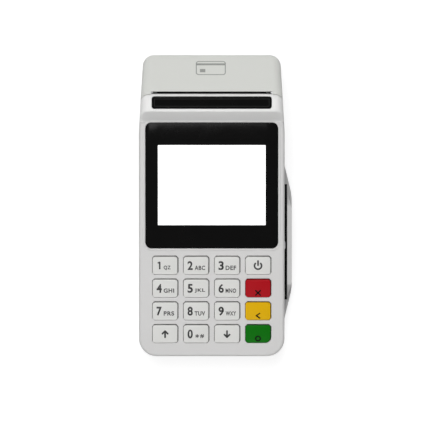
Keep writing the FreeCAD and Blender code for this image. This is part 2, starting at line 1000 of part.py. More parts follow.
# Spring contacts that hang from the roof of the card's pocket
def make_chip_contacts():
    contacts = []
    pitch = 2.54
    roof = slot_depth + size("card_slot_height") / 2
    for row in range(CONTACT_ROWS):
        for column in range(CONTACTS_PER_ROW):
            across = (column - (CONTACTS_PER_ROW - 1) / 2) * pitch
            along = reader_start + 30 + row * 7.6
            contacts.append(face_block(f"contact_{row}_{column}", (across - 0.5, along, roof - 0.35),
                                       (across + 0.5, along + 3.0, roof)))
    return group("chip_contacts", contacts)


def make_backup_cell():
    cell = doc.addObject("Part::Cylinder", "backup_cell")
    bind(cell, "Radius", size("cell_radius"))
    bind(cell, "Height", size("cell_thickness"))
    along = along_face(size("board_start")) + size("board_length") - size("cell_inset")
    across = size("board_width") / 2 - size("cell_side_inset")
    return put_on_face(cell, across, along, board_bottom - size("cell_thickness"))


# Magnetic head behind the swipe slot, on a leaf spring between two posts
head_y = near + size("head_place")
head_z = face_level(head_y) - size("swipe_floor_drop") + size("stripe_height")
head_back = 4.6
post_y_reach = size("head_length")


def make_swipe_head():
    body = new_body("swipe_head")
    sketch = sketch_on(body, "XY_Plane", "head_outline", head_z - size("head_height") / 2)
    nose = half_width + 0.4
    back = half_width - head_back
    reach = size("head_length") / 2
    draw_outline(sketch, [(back, head_y - reach), (nose, head_y - reach, size("head_nose_radius")),
                          (nose, head_y + reach, size("head_nose_radius")), (back, head_y + reach)])
    pad(body, sketch, size("head_height"))
    return body


def make_head_spring():
    front = half_width - head_back
    reach = post_y_reach + size("post_radius")
    return block("head_spring", (front - size("leaf_thickness"), head_y - reach, head_z - size("leaf_height") / 2),
                 (front, head_y + reach, head_z + size("leaf_height") / 2))


def head_posts():
    return [post_across(f"head_post_{side}", size("post_radius"), POST_SIDES, half_width - head_back,
                        half_width - wall / 2, head_y + side * post_y_reach, head_z) for side in (-1, 1)]


# Case pieces

def screw_places():
    for side in (-1, 1):
        for distance in (size("screw_near_place"), size("screw_far_place")):
            yield side * size("screw_spacing") / 2, near + distance


def foot_places():
    for side in (-1, 1):
        for distance in (size("foot_near_place"), size("foot_far_place")):
            yield side * size("foot_spacing_across") / 2, near + distance


def port_block(name, grow, start, end):
    port_y = near + size("port_place")
    port_z = parting + 7
    half = size("port_width") / 2 + grow
    thick = size("port_height") / 2 + grow
    return block(name, (start, port_y - half, port_z - thick), (end, port_y + half, port_z + thick))


def make_top_housing(shell, outer):
    openings = [make_key_opening(name, row, column) for name, row, column in each_key()]
    openings.append(make_window_recess())
    openings.append(display_block("display_opening", 0.4, -wall - 3, 0))
    openings.append(make_strip("strip_recess", 0.1, 3))
    light_half = size("strip_width") / 2 - 3
    openings.append(ridge_block("light_slot", (-light_half, strip_along - 1.6, -wall - 3),
                                (light_half, strip_along + 1.6, 0)))
    openings.append(card_gap("card_mouth", 0, -6, wall + 2))
    head_reach = size("head_length") / 2 + size("head_slack")
    head_rise = size("head_height") / 2 + size("head_slack")
    openings.append(block("head_opening", (half_width - wall - 1, head_y - head_reach, head_z - head_rise),
                          (half_width + 1, head_y + head_reach, head_z + head_rise)))
    openings.append(port_block("port_opening", 0.1, -half_width - 1, -half_width + wall + 1))
    tall = face_top
    columns = []
    for index, (x, y) in enumerate(screw_places()):
        columns.append(post_up(f"top_boss_{index}", size("boss_radius"), POST_SIDES, x, y, parting, tall))
    filled = overlap("top_bosses", [join("boss_columns", columns), outer])
    bar = tear_bar_rib()
    holes = []
    for index, (x, y) in enumerate(screw_places()):
        reach = parting + size("screw_reach") + 2
        holes.append(post_up(f"top_boss_hole_{index}", size("screw_radius"), POST_SIDES, x, y,
                             parting - 1, reach))
    solid = join("top_with_bosses", [shell, filled, bar] + head_posts())
    return cut("top_housing", solid, openings + holes)


# Rib under the ridge's far edge, which carries the tear bar
def tear_bar_rib():
    half = size("slot_width") / 2
    return block("tear_bar_rib", (-half, slot_y - 1.6, top_z - size("lip_drop")),
                 (half, slot_y, top_z - wall / 2))


def make_swipe_rail():
    start = near + size("swipe_start")
    end = start + size("swipe_length")
    side = half_width
    reach = half_width + size("swipe_gap") + size("rail_thickness")
    sweep = size("swipe_length") / 5
    ledge_round = 24
    sink = wall * 0.75
    lead = sink * (sweep - 1) / (reach - side)
    base = new_body("rail_base")
    low = sketch_on(base, "XY_Plane", "rail_base_outline", size("ledge_bottom"))
    draw_outline(low, [(side - sink, start + 1 - lead), (reach, start + sweep, ledge_round),
                       (reach, end - sweep, ledge_round), (side - sink, end - 1 + lead)])
    pad(base, low, parting - size("ledge_bottom"))
    ledge = new_body("rail_ledge")
    high = sketch_on(ledge, "XY_Plane", "rail_ledge_outline", parting)
    draw_outline(high, [(side, start + 1), (reach, start + sweep, ledge_round),
                        (reach, end - sweep, ledge_round), (side, end - 1)])
    pad(ledge, high, top_z - parting)
    above = top_z + 5
    floor_drop = size("swipe_floor_drop")
    side_pocket(ledge, "ledge_slope", [
        (start - 1, face_level(start - 1) - floor_drop), (end + 1, face_level(end + 1) - floor_drop),
        (end + 1, above), (start - 1, above)], 2 * reach + 10)
    rail = new_body("rail_wall")
    low_end = near + size("rail_start")
    high_end = low_end + size("rail_length")
    lean = size("rail_length") / 6
    top = sketch_on(rail, "XY_Plane", "rail_wall_outline", parting)
    inner = side + size("swipe_gap")
    draw_outline(top, [(inner, low_end), (reach, low_end + lean, 12), (reach, high_end - lean, 12),
                       (inner, high_end)])
    pad(rail, top, top_z - parting)
    low_crest = low_end + size("rail_length") / 7
    high_crest = high_end - size("rail_length") / 7
    rail_drop = size("rail_drop")
    side_pocket(rail, "rail_slope", [
        (low_end - 1, face_level(low_end - 1) - floor_drop), (low_end, face_level(low_end) - floor_drop),
        (low_crest, face_level(low_crest) - rail_drop), (high_crest, face_level(high_crest) - rail_drop),
        (high_end, face_level(high_end) - floor_drop), (high_end + 1, face_level(high_end + 1) - floor_drop),
        (high_end + 1, above), (low_end - 1, above)], 2 * reach + 10)
    return join("swipe_rail", [base, ledge, rail])


battery_side = size("battery_width") / 2 + 0.4
door_half = size("door_width") / 2
door_top = wall
bay_roof = door_top + 0.4 + size("battery_height") + 0.4
bay_start = near + size("battery_start") - 0.4
bay_end = bay_start + size("battery_length") + 0.8


def door_block(name, grow):
    end = near + size("door_length") + grow
    return block(name, (-door_half - grow, near - 6, -1), (door_half + grow, end, door_top))


def tongue_blocks(name, grow, start, end):
    low = door_top * 0.35 - grow
    high = door_top * 0.75 + grow
    reach = door_half + size("door_tongue") + grow
    return [block(f"{name}_{side}", (min_of(side * door_half, side * reach), start, low),
                  (max_of(side * door_half, side * reach), end, high)) for side in (-1, 1)]


def min_of(first, second):
    return first if number(first) < number(second) else second


def max_of(first, second):
    return first if number(first) > number(second) else second


def make_bottom_housing(shell, outer):
    slide_gap = 0.15
    bay_half = battery_side + size("bay_wall") + 1.7
    bay_solid = block("bay_solid", (-bay_half, bay_start - size("bay_wall"), wall / 2),
                      (bay_half, bay_end + size("bay_wall") + 2, bay_roof + size("bay_wall")))
    near_web = overlap("bay_near_web", [outer, block("near_web", (-bay_half, near, wall / 2),
                                                    (bay_half, bay_start, parting))])
    hollow = block("bay_hollow", (-battery_side, bay_start, -1), (battery_side, bay_end, bay_roof))
    columns = []
    holes = []
    for index, (x, y) in enumerate(screw_places()):
        head_top = size("screw_head_inset") + size("screw_head_height")
        shank = size("screw_radius") + size("screw_clearance")
        head = size("screw_head_radius") + size("screw_clearance")
        columns.append(post_up(f"low_boss_{index}", size("boss_radius"), POST_SIDES, x, y, wall / 2, parting))
        holes.append(post_up(f"screw_hole_{index}", shank, POST_SIDES, x, y, -1, parting + 1))
        holes.append(post_up(f"head_hole_{index}", head, HEAD_SIDES, x, y, -1, head_top))
    for index, (x, y) in enumerate(foot_places()):
        holes.append(post_up(f"foot_recess_{index}", size("foot_radius"), FOOT_SIDES, x, y, -1,
                             size("foot_depth")))
    solid = join("bottom_solids", [shell, make_swipe_rail(), bay_solid, near_web, hinge_block()]
                 + columns + frame_standoffs())
    door_space = door_block("door_space", slide_gap)
    grooves = tongue_blocks("door_groove", slide_gap, near - 6, near + size("door_length") - 3)
    cuts = [hollow, door_space, hinge_bore("case_hinge_bore")]
    return cut("bottom_housing", solid, cuts + grooves + holes)


# The sliding door: a piece of the case's floor with a tongue along each side and finger grooves
def make_battery_door(outer):
    panel = overlap("door_panel", [outer, door_block("door_zone", 0)])
    start = near + size("door_travel") + 8
    tongues = tongue_blocks("door_tongue", 0, start, near + size("door_length") - 3.3)
    grips = []
    grip_count = 5
    for index in range(grip_count):
        y = near + size("door_length") - 22 + index * 2.4
        grips.append(block(f"finger_groove_{index}", (-11, y, -1), (11, y + 1.2, 0.5)))
    return cut("battery_door", join("door_with_tongues", [panel] + tongues), grips)


def make_battery():
    start = bay_start + 0.4
    low = door_top + 0.3
    body = plate("battery_pack", size("battery_width"), size("battery_length"), size("battery_height"), 1.5)
    return place(body, 0, start + size("battery_length") / 2, low)


def make_battery_contacts():
    contacts = []
    for index in range(3):
        across = (index - 1) * 5
        contacts.append(block(f"battery_contact_{index}", (across - 1, bay_end - 0.4, door_top + 5),
                              (across + 1, bay_end + 0.0, door_top + 9)))
    return group("battery_contacts", contacts)


def make_feet():
    feet = []
    for index, (x, y) in enumerate(foot_places()):
        feet.append(post_up(f"foot_{index}", size("foot_radius"), FOOT_SIDES, x, y, -size("foot_proud"),
                            size("foot_depth")))
    return group("rubber_feet", feet)


def make_screws():
    screws = []
    for index, (x, y) in enumerate(screw_places()):
        head_low = size("screw_head_inset")
        head_high = head_low + size("screw_head_height")
        head = post_up(f"screw_head_{index}", size("screw_head_radius"), HEAD_SIDES, x, y, head_low, head_high)
        tip = parting + size("screw_reach")
        shank = post_up(f"screw_shank_{index}", size("screw_radius"), POST_SIDES, x, y, head_high, tip)
        screws.append(join(f"screw_{index}", [head, shank]))
    return group("case_screws", screws)


def make_port():
    shell = port_block("port_shell", 0, -half_width + 0.4, -half_width + 0.4 + size("port_depth"))
    hollow = port_block("port_hollow", -0.4, -half_width - 1, -half_width + size("port_depth") - 0.6)
    return cut("charging_port", shell, [hollow])


def make_port_tongue():
    port_y = near + size("port_place")
    port_z = parting + 7
    return block("port_tongue", (-half_width + 1.4, port_y - 3.2, port_z - 0.35),
                 (-half_width + size("port_depth") - 0.6, port_y + 3.2, port_z + 0.35))


# Hinge: the case has one wide knuckle in the middle and the cover one at each side, on one pin

hinge_half = size("body_width") / 4


def hinge_block():
    knuckle = size("hinge_inset")
    barrel = rod_across("case_knuckle", knuckle, -hinge_half, hinge_half, hinge_y, hinge_z)
    web = block("case_knuckle_web", (-hinge_half, hinge_y - knuckle, wall), (hinge_half, far, hinge_z))
    return join("case_hinge", [barrel, web])


def hinge_bore(name):
    radius = size("hinge_pin_radius") + size("running_gap")
    return rod_across(name, radius, -half_width, half_width, hinge_y, hinge_z)


def make_hinge_pin():
    reach = hinge_half + size("knuckle_length")
    return rod_across("cover_hinge_pin", size("hinge_pin_radius"), -reach, reach, hinge_y, hinge_z)


arm_half = size("platen_length") / 2 + 0.4
arm_end = arm_half + size("bush_width")


# Two arms that hang from the cover and hold the platen's bushes
def platen_arms(outer):
    reach = size("bush_radius") + 1.6
    arms = []
    for side in (-1, 1):
        low = min_of(side * arm_half, side * arm_end)
        high = max_of(side * arm_half, side * arm_end)
        ring = rod_across(f"arm_ring_{side}", reach, low, high, platen_y, platen_z)
        web = block(f"arm_web_{side}", (low, platen_y - reach / 2, platen_z),
                    (high, platen_y + 2 * reach, top_z))
        arms += [ring, web]
    return overlap("platen_arms", [join("arm_solids", arms), outer])


def make_cover(lid, outer):
    knuckle = size("hinge_inset")
    reach = hinge_half + gap
    barrels = []
    for side in (-1, 1):
        low = min_of(side * reach, side * (reach + size("knuckle_length")))
        high = max_of(side * reach, side * (reach + size("knuckle_length")))
        barrels.append(rod_across(f"cover_knuckle_{side}", knuckle, low, high, hinge_y, hinge_z))
    solid = join("cover_solids", [lid, platen_arms(outer)] + barrels)
    bend = cover_line(as_dim(0))[1]
    above = top_z + 2
    mouth = side_prism("paper_mouth", [(bend[0] - 1, above), (bend[0] - 1, bend[1]), (cover_y, bend[1]),
                                       (cover_y, above)], size("slot_width"))
    room = rod_across("knuckle_room", knuckle + gap, -hinge_half - gap, hinge_half + gap, hinge_y, hinge_z)
    room_half = hinge_half + gap
    slot = block("knuckle_slot", (-room_half, hinge_y - knuckle - gap, hinge_z - knuckle),
                 (room_half, far + 1, hinge_z + knuckle + gap))
    bushes = post_across("bush_bore", size("bush_radius"), POST_SIDES, -arm_end - 1, arm_end + 1,
                         platen_y, platen_z)
    return cut("printer_cover", solid, [mouth, room, slot, bushes, hinge_bore("cover_hinge_bore")])


# Receipt printer

gear_low = -(size("frame_width") / 2 + size("plate_thickness") + 0.3 + size("gear_width"))
plate_inner = size("frame_width") / 2
plate_outer = plate_inner + size("plate_thickness")


# Centre of the idler, which meshes with the motor's pinion and the platen's gear
def idler_centre():
    motor = (near + size("motor_place"), size("motor_height"))
    module = size("gear_module")
    first = module * (size("pinion_teeth") + size("idler_teeth")) / 2
    second = module * (size("idler_teeth") + size("platen_gear_teeth")) / 2
    run = platen_y - motor[0]
    rise = platen_z - motor[1]
    span = root(run * run + rise * rise)
    along = (first * first - second * second + span * span) / (2 * span)
    below = root(first * first - along * along)
    y = motor[0] + along * run / span + below * rise / span
    z = motor[1] + along * rise / span - below * run / span
    return y, z


# Outline of a gear in its own plane, with a tooth centred on the given angle.
# Its flanks run straight between the two ends of the involute.
def gear_face(teeth, first_tooth):
    module = size("gear_module").value
    backlash = size("gear_backlash").value
    pressure = math.radians(20)
    pitch_radius = module * teeth / 2
    base_radius = pitch_radius * math.cos(pressure)
    tip_radius = pitch_radius + 0.9 * module
    foot_radius = pitch_radius - 1.2 * module
    involute = math.tan(pressure) - pressure
    half_tooth = (math.pi * module / 2 - backlash) / 2 / pitch_radius
    start_radius = max(base_radius, foot_radius)
    flank = []
    for radius in (start_radius, tip_radius):
        angle = math.acos(min(1.0, base_radius / radius))
        flank.append((radius, half_tooth + involute - (math.tan(angle) - angle)))
    points = []
    for tooth in range(teeth):
        middle = first_tooth + 2 * math.pi * tooth / teeth
        rising = [(foot_radius, middle - flank[0][1])] + [(radius, middle - half) for radius, half in flank]
        falling = [(radius, middle + half) for radius, half in reversed(flank)]
        falling.append((foot_radius, middle + flank[0][1]))
        points += rising + falling
    corners = []
    for radius, angle in points:
        corner = Vector(0, radius * math.cos(angle), radius * math.sin(angle))
        if not corners or corner.distanceToPoint(corners[-1]) > 1e-6:
            corners.append(corner)
    return Part.Face(Part.makePolygon(corners + [corners[0]]))


# Angle of a tooth of the second gear that meshes with the first gear's tooth
def meshing_tooth(first_tooth, first_teeth, second_teeth, direction):
    return direction + math.pi - (first_teeth * (first_tooth - direction) + math.pi) / second_teeth


def make_gear(name, teeth, first_tooth, bore, centre):
    item = doc.addObject("Part::Feature", name)
    blank = gear_face(teeth, first_tooth).extrude(Vector(size("gear_width").value, 0, 0))
    hole = Part.makeCylinder(bore, size("gear_width").value + 2, Vector(-1, 0, 0), ACROSS)
    item.Shape = blank.cut(hole)
    return place(item, gear_low, centre[0], centre[1])


def gear_places():
    motor = (near + size("motor_place"), size("motor_height"))
    idler = idler_centre()
    platen = (platen_y, platen_z)
    return motor, idler, platen


def direction_between(start, end):
    return math.atan2(end[1].value - start[1].value, end[0].value - start[0].value)


def make_gears():
    motor, idler, platen = gear_places()
    pinion_teeth = int(size("pinion_teeth").value)
    idler_teeth = int(size("idler_teeth").value)
    platen_teeth = int(size("platen_gear_teeth").value)
    to_pinion = direction_between(idler, motor)
    to_platen = direction_between(idler, platen)
    first_tooth = to_pinion
    pinion_tooth = meshing_tooth(first_tooth, idler_teeth, pinion_teeth, to_pinion)
    platen_tooth = meshing_tooth(first_tooth, idler_teeth, platen_teeth, to_platen)
    clear = size("running_gap").value
    return {
        "motor_pinion": make_gear("motor_pinion", pinion_teeth, pinion_tooth,
                                  size("motor_shaft_radius").value, motor),
        "idler_gear": make_gear("idler_gear", idler_teeth, first_tooth,
                                size("stub_radius").value + clear, idler),
        "platen_gear": make_gear("platen_gear", platen_teeth, platen_tooth,
                                 size("platen_shaft_radius").value, platen),
    }


# Back of the print head, which its springs push towards the platen
head_backing = platen_y - size("platen_radius") - size("head_gap") - size("head_thickness")


# Sheet frame: two side plates, a bar between them and the idler's stub
def frame_ends():
    start = near + size("motor_place") - size("motor_radius") - 1
    low = platen_z - size("frame_drop")
    return start, low, low - size("frame_foot_drop")


def make_printer_frame():
    motor, idler = gear_places()[:2]
    start, low, foot_low = frame_ends()
    high = platen_z + size("frame_rise")
    saddle = size("platen_shaft_radius") + gap
    bar_end = head_backing - size("coil_length")
    foot_run = start + 6
    plates = side_prism("side_plates", [(start, foot_low), (foot_run, foot_low), (foot_run, low),
                                        (platen_y, low), (platen_y, high), (start + 4.5, high),
                                        (start, motor[1] + 1.5)], 2 * plate_outer)
    between = block("between_plates", (-plate_inner, start - 1, foot_low - 1),
                    (plate_inner, platen_y + 1, high + 1))
    bar = block("cross_bar", (-plate_inner, bar_end - 1.2, platen_z - 3.4),
                (plate_inner, bar_end, platen_z + 3))
    stub = rod_across("idler_stub", size("stub_radius"), gear_low - 0.4, -plate_inner, *idler)
    cuts = [rod_across("shaft_saddle", saddle, -plate_outer - 1, plate_outer + 1, platen_y, platen_z),
            rod_across("motor_hole", size("motor_shaft_radius") + 0.3, -plate_outer - 1, -plate_inner + 1,
                       motor[0], motor[1])]
    pair = cut("plate_pair", plates, [between])
    return cut("printer_frame", join("frame_solids", [pair, bar, stub]), cuts)


# Two columns in the lower case that the printer's frame stands on
def frame_standoffs():
    start = frame_ends()[0]
    foot_low = frame_ends()[2]
    middle = (plate_inner + plate_outer) / 2
    return [post_up(f"standoff_{side}", size("standoff_radius"), POST_SIDES, side * middle, start + 3,
                    wall / 2, foot_low) for side in (-1, 1)]


def make_motor():
    motor = gear_places()[0]
    return rod_across("motor_can", size("motor_radius"), -plate_inner, -plate_inner + size("motor_length"),
                      *motor)


def make_motor_shaft():
    motor = gear_places()[0]
    return rod_across("motor_shaft", size("motor_shaft_radius"), gear_low - 0.4, -plate_inner, *motor)


def make_print_head():
    front = head_backing + size("head_thickness")
    half = size("platen_length") / 2
    reach = size("platen_radius") + 0.4
    return block("print_head", (-half, head_backing, platen_z - reach), (half, front, platen_z + reach))


def make_head_springs():
    back = head_backing
    springs = []
    for side in (-1, 1):
        x = side * size("platen_length") / 4
        springs.append(rod_along(f"head_spring_coil_{side}", size("coil_radius"), x, back - size("coil_length"),
                                 back, platen_z))
    return group("head_springs", springs)


def rod_along(name, radius, x, y_start, y_end, z):
    item = doc.addObject("Part::Prism", name)
    item.Polygon = POST_SIDES
    bind(item, "Circumradius", radius)
    bind(item, "Height", y_end - y_start)
    place(item, x, y_start, z)
    item.Placement.Rotation = FreeCAD.Rotation(ACROSS, -90)
    return item


# Saw-toothed strip along the paper slot
def make_tear_bar():
    half = size("slot_width") / 2 - 0.5
    bottom = top_z - size("lip_drop") + 0.2
    top = top_z - 0.5
    strip = block("tear_strip", (-half, slot_y, bottom), (half, slot_y + 0.4, top))
    pitch = 2.0
    notch_count = int(2 * half.value / pitch)
    notches = []
    for index in range(notch_count):
        x = -half + (index + 0.5) * pitch
        notch = doc.addObject("Part::Box", f"tear_notch_{index}")
        for axis, length in zip(("Length", "Width", "Height"), (0.8, 2.0, 0.8)):
            bind(notch, axis, length)
        place(notch, x, slot_y - 0.8, top - 0.55)
        notch.Placement.Rotation = FreeCAD.Rotation(Vector(0, 1, 0), -45)
        notches.append(notch)
    return cut("tear_bar", strip, notches)


def make_platen():
    half = size("platen_length") / 2
    rubber = rod_across("platen_sleeve", size("platen_radius"), -half, half, platen_y, platen_z)
    core = rod_across("sleeve_bore", size("platen_shaft_radius"), -half - 1, half + 1, platen_y, platen_z)
    return cut("platen_rubber", rubber, [core])


def make_platen_shaft():
    return rod_across("platen_shaft", size("platen_shaft_radius"), gear_low - 0.3, arm_end + 0.6,
                      platen_y, platen_z)


def make_platen_bushes():
    bushes = []
    for side in (-1, 1):
        low = min_of(side * arm_half, side * arm_end)
        high = max_of(side * arm_half, side * arm_end)
        ring = post_across(f"bush_ring_{side}", size("bush_radius"), POST_SIDES, low, high, platen_y, platen_z)
        bore = rod_across(f"bush_ring_bore_{side}", size("platen_shaft_radius") + size("running_gap"),
                          low - 1, high + 1, platen_y, platen_z)
        bushes.append(cut(f"bush_{side}", ring, [bore]))
    return group("platen_bushes", bushes)


# Open trough that the paper roll lies in
def make_paper_tray():
    radius = size("roll_radius") + size("tray_gap")
    half = size("roll_width") / 2 + size("tray_gap")
    thick = size("tray_wall")
    centre_z = size("roll_height")
    drum = rod_across("tray_drum", radius + thick, -half - thick, half + thick, roll_y, centre_z)
    hollow = rod_across("tray_hollow", radius, -half, half, roll_y, centre_z)
    above = block("tray_above", (-half - 5, roll_y - 2 * radius, centre_z + radius / 2),
                  (half + 5, roll_y + 2 * radius, centre_z + 2 * radius))
    behind = block("tray_behind", (-half - 5, roll_y + radius / 4, centre_z - 0.65 * radius),
                   (half + 5, roll_y + 2 * radius, centre_z + 2 * radius))
    return cut("paper_tray", drum, [hollow, above, behind])


def make_paper_roll():
    half = size("roll_width") / 2
    centre_z = size("roll_height")
    roll = rod_across("roll_blank", size("roll_radius"), -half, half, roll_y, centre_z)
    bore = rod_across("roll_bore", size("core_radius"), -half - 1, half + 1, roll_y, centre_z)
    return cut("paper_roll", roll, [bore])


def make_paper_core():
    half = size("roll_width") / 2
    centre_z = size("roll_height")
    tube = rod_across("core_blank", size("core_radius"), -half, half, roll_y, centre_z)
    bore = rod_across("core_bore", size("core_radius") - size("core_wall"), -half - 1, half + 1,
                      roll_y, centre_z)
    return cut("paper_core", tube, [bore])


# The whole terminal

def make_pieces():
    outer, top, bottom, lid = make_shells()
    pieces = {
        "top_housing": make_top_housing(top, outer),
        "bottom_housing": make_bottom_housing(bottom, outer),
        "printer_cover": make_cover(lid, outer),
        "battery_door": make_battery_door(outer),
        "cover_hinge_pin": make_hinge_pin(),
        "rubber_feet": make_feet(),
        "case_screws": make_screws(),
        "display_window": make_display_window(),
        "lcd_module": make_display(),
        "indicator_window": make_strip("indicator_window", 0, 0),
        "indicator_leds": make_leds(),
        "indicator_board": make_led_board(),
        "keypad_mat": make_keypad_mat(),
        "key_domes": make_key_domes(),
        "main_board": make_board(),
        "backup_cell": make_backup_cell(),
        "chip_card_reader": make_card_reader(),
        "chip_contacts": make_chip_contacts(),
        "swipe_head": make_swipe_head(),
        "head_spring": make_head_spring(),
        "battery_pack": make_battery(),
        "battery_contacts": make_battery_contacts(),
        "charging_port": make_port(),
        "port_tongue": make_port_tongue(),
        "printer_frame": make_printer_frame(),
        "feed_motor": make_motor(),
        "motor_shaft": make_motor_shaft(),
        "print_head": make_print_head(),
        "head_springs": make_head_springs(),
        "tear_bar": make_tear_bar(),
        "platen_rubber": make_platen(),
        "platen_shaft": make_platen_shaft(),
        "platen_bushes": make_platen_bushes(),
        "paper_tray": make_paper_tray(),
        "paper_roll": make_paper_roll(),
        "paper_core": make_paper_core(),
    }
    pieces.update(make_gears())
    for name, row, column in each_key():
        pieces[name] = make_key(name, row, column)
    return pieces


def write_pieces(pieces):
    os.makedirs("parts", exist_ok=True)
    for item in doc.Objects:
        bad = [word for word in item.State if word in ("Invalid", "Error")]
        if bad:
            raise RuntimeError(f"{item.Label} failed: {item.State}")
    for name, item in pieces.items():
        item.Label = name
        check(item)
    for name, item in pieces.items():
        item.Shape.exportStep(f"parts/{name}.step")
        print(f"{name}: {len(item.Shape.Solids)} solids, {item.Shape.Volume:.1f} mm3")


pieces = make_pieces()
doc.recompute()
write_pieces(pieces)
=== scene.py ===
import math
import bpy
from mathutils import Matrix, Vector


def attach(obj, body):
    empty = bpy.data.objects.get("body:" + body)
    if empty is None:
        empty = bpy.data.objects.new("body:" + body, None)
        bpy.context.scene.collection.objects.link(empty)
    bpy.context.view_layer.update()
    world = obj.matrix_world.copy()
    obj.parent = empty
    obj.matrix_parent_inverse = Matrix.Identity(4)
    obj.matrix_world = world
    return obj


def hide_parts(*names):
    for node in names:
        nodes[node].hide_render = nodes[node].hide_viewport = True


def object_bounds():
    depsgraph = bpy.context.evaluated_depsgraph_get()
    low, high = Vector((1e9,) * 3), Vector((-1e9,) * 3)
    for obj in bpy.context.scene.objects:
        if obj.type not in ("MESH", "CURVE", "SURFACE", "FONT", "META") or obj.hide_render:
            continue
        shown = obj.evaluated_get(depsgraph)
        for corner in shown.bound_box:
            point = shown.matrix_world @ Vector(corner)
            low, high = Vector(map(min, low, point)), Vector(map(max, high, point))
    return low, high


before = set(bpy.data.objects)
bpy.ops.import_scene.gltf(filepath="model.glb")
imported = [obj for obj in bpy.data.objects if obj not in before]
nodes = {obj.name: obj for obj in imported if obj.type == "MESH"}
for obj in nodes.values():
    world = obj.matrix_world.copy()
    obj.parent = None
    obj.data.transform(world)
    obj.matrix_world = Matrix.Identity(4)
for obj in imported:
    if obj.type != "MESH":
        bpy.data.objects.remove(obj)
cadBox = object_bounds()
print("frame loaded:", len(nodes), "pieces")

mm = 0.001
fine = 1e-7  # metres: vertices closer than this count as one
same = 0.999  # directions whose dot product is above this count as one

# the tilted front that holds the screen and the keys; every place on it is across, along, above
front = {"tilt": math.radians(8), "nearEnd": -80.65 * mm, "nearHeight": 24.0 * mm}
frontPlace = (Matrix.Translation((0, front["nearEnd"], front["nearHeight"]))
              @ Matrix.Rotation(front["tilt"], 4, "X"))


def boxOf(points):
    low = Vector([min(p[axis] for p in points) for axis in range(3)])
    high = Vector([max(p[axis] for p in points) for axis in range(3)])
    return low, high


def frontBox(nodeName):
    # a CAD node's lowest and highest corner, measured in the front's own directions
    return boxOf([frontPlace.inverted() @ v.co for v in nodes[nodeName].data.vertices])


# small tools for modelling

def deselectAll():
    if bpy.context.object and bpy.context.object.mode != "OBJECT":
        bpy.ops.object.mode_set(mode="OBJECT")
    bpy.ops.object.select_all(action="DESELECT")


def activate(obj):
    deselectAll()
    obj.select_set(True)
    bpy.context.view_layer.objects.active = obj
    return obj


def startBlock(name, low, high):
    deselectAll()
    centre = [(a + b) / 2 for a, b in zip(low, high)]
    bpy.ops.mesh.primitive_cube_add(size=1, location=centre)
    obj = bpy.context.object
    obj.name = name
    obj.data.name = name
    obj.scale = [b - a for a, b in zip(low, high)]
    bpy.ops.object.transform_apply(location=True, rotation=True, scale=True)
    return obj


def startDisc(name, radius, depth, centre, sides=48):
    deselectAll()
    bpy.ops.mesh.primitive_cylinder_add(vertices=sides, radius=radius, depth=depth, location=centre)
    obj = bpy.context.object
    obj.name = name
    obj.data.name = name
    bpy.ops.object.transform_apply(location=True, rotation=True, scale=True)
    return obj


def chooseEdges(obj, wanted):
    # in object mode: marks the edges whose two ends pass the test, then opens edit mode
    bpy.ops.object.mode_set(mode="EDIT")
    bpy.ops.mesh.select_all(action="DESELECT")
    bpy.ops.mesh.select_mode(type="EDGE")
    bpy.ops.object.mode_set(mode="OBJECT")
    mesh = obj.data
    for edge in mesh.edges:
        a, b = (mesh.vertices[i].co for i in edge.vertices)
        edge.select = wanted(a, b)
    bpy.ops.object.mode_set(mode="EDIT")


def chooseFaces(obj, wanted):
    bpy.ops.object.mode_set(mode="EDIT")
    bpy.ops.mesh.select_all(action="DESELECT")
    bpy.ops.mesh.select_mode(type="FACE")
    bpy.ops.object.mode_set(mode="OBJECT")
    for face in obj.data.polygons:
        face.select = wanted(face)
    bpy.ops.object.mode_set(mode="EDIT")


def leaveEdit():
    bpy.ops.object.mode_set(mode="OBJECT")


def bevelEdges(obj, wanted, offset, segments):
    chooseEdges(obj, wanted)
    bpy.ops.mesh.bevel(offset=offset, segments=segments, affect="EDGES")
    leaveEdit()


def turnFacesOut():
    # in edit mode: all faces point outwards, then back to object mode
    bpy.ops.mesh.select_all(action="SELECT")
    bpy.ops.mesh.normals_make_consistent(inside=False)
    leaveEdit()


def upright(a, b):
    return abs(a.x - b.x) < fine and abs(a.y - b.y) < fine


def applyModifier(obj, kind, **settings):
    activate(obj)
    modifier = obj.modifiers.new(kind.lower(), kind)
    for key, value in settings.items():
        setattr(modifier, key, value)
    bpy.ops.object.modifier_apply(modifier=modifier.name)


def smoothByAngle(obj, degrees=35):
    activate(obj)
    bpy.ops.object.shade_smooth_by_angle(angle=math.radians(degrees))


def placeOn(obj, matrix):
    obj.data.transform(matrix)
    obj.data.update()
    return obj


def copyOf(obj, name):
    twin = obj.copy()
    twin.data = obj.data.copy()
    twin.name = name
    twin.data.name = name
    bpy.context.scene.collection.objects.link(twin)
    return twin


def joinAll(name, parts):
    activate(parts[0])
    for part in parts[1:]:
        part.select_set(True)
    if len(parts) > 1:
        bpy.ops.object.join()
    obj = bpy.context.object
    obj.name = name
    obj.data.name = name
    return obj


def wear(obj, *materials):
    obj.data.materials.clear()
    for material in materials:
        obj.data.materials.append(material)
    return obj


# materials

def startMaterial(name, colour, roughness, metallic=0.0, coat=0.0):
    material = bpy.data.materials.new(name)
    material.use_nodes = True
    tree = material.node_tree
    tree.nodes.clear()
    output = tree.nodes.new("ShaderNodeOutputMaterial")
    shader = tree.nodes.new("ShaderNodeBsdfPrincipled")
    shader.inputs["Base Color"].default_value = (*colour, 1)
    shader.inputs["Roughness"].default_value = roughness
    shader.inputs["Metallic"].default_value = metallic
    shader.inputs["Coat Weight"].default_value = coat
    shader.inputs["Coat Roughness"].default_value = 0.08
    tree.links.new(shader.outputs["BSDF"], output.inputs["Surface"])
    place = tree.nodes.new("ShaderNodeTexCoord")
    return material, tree, shader, place.outputs["Object"]


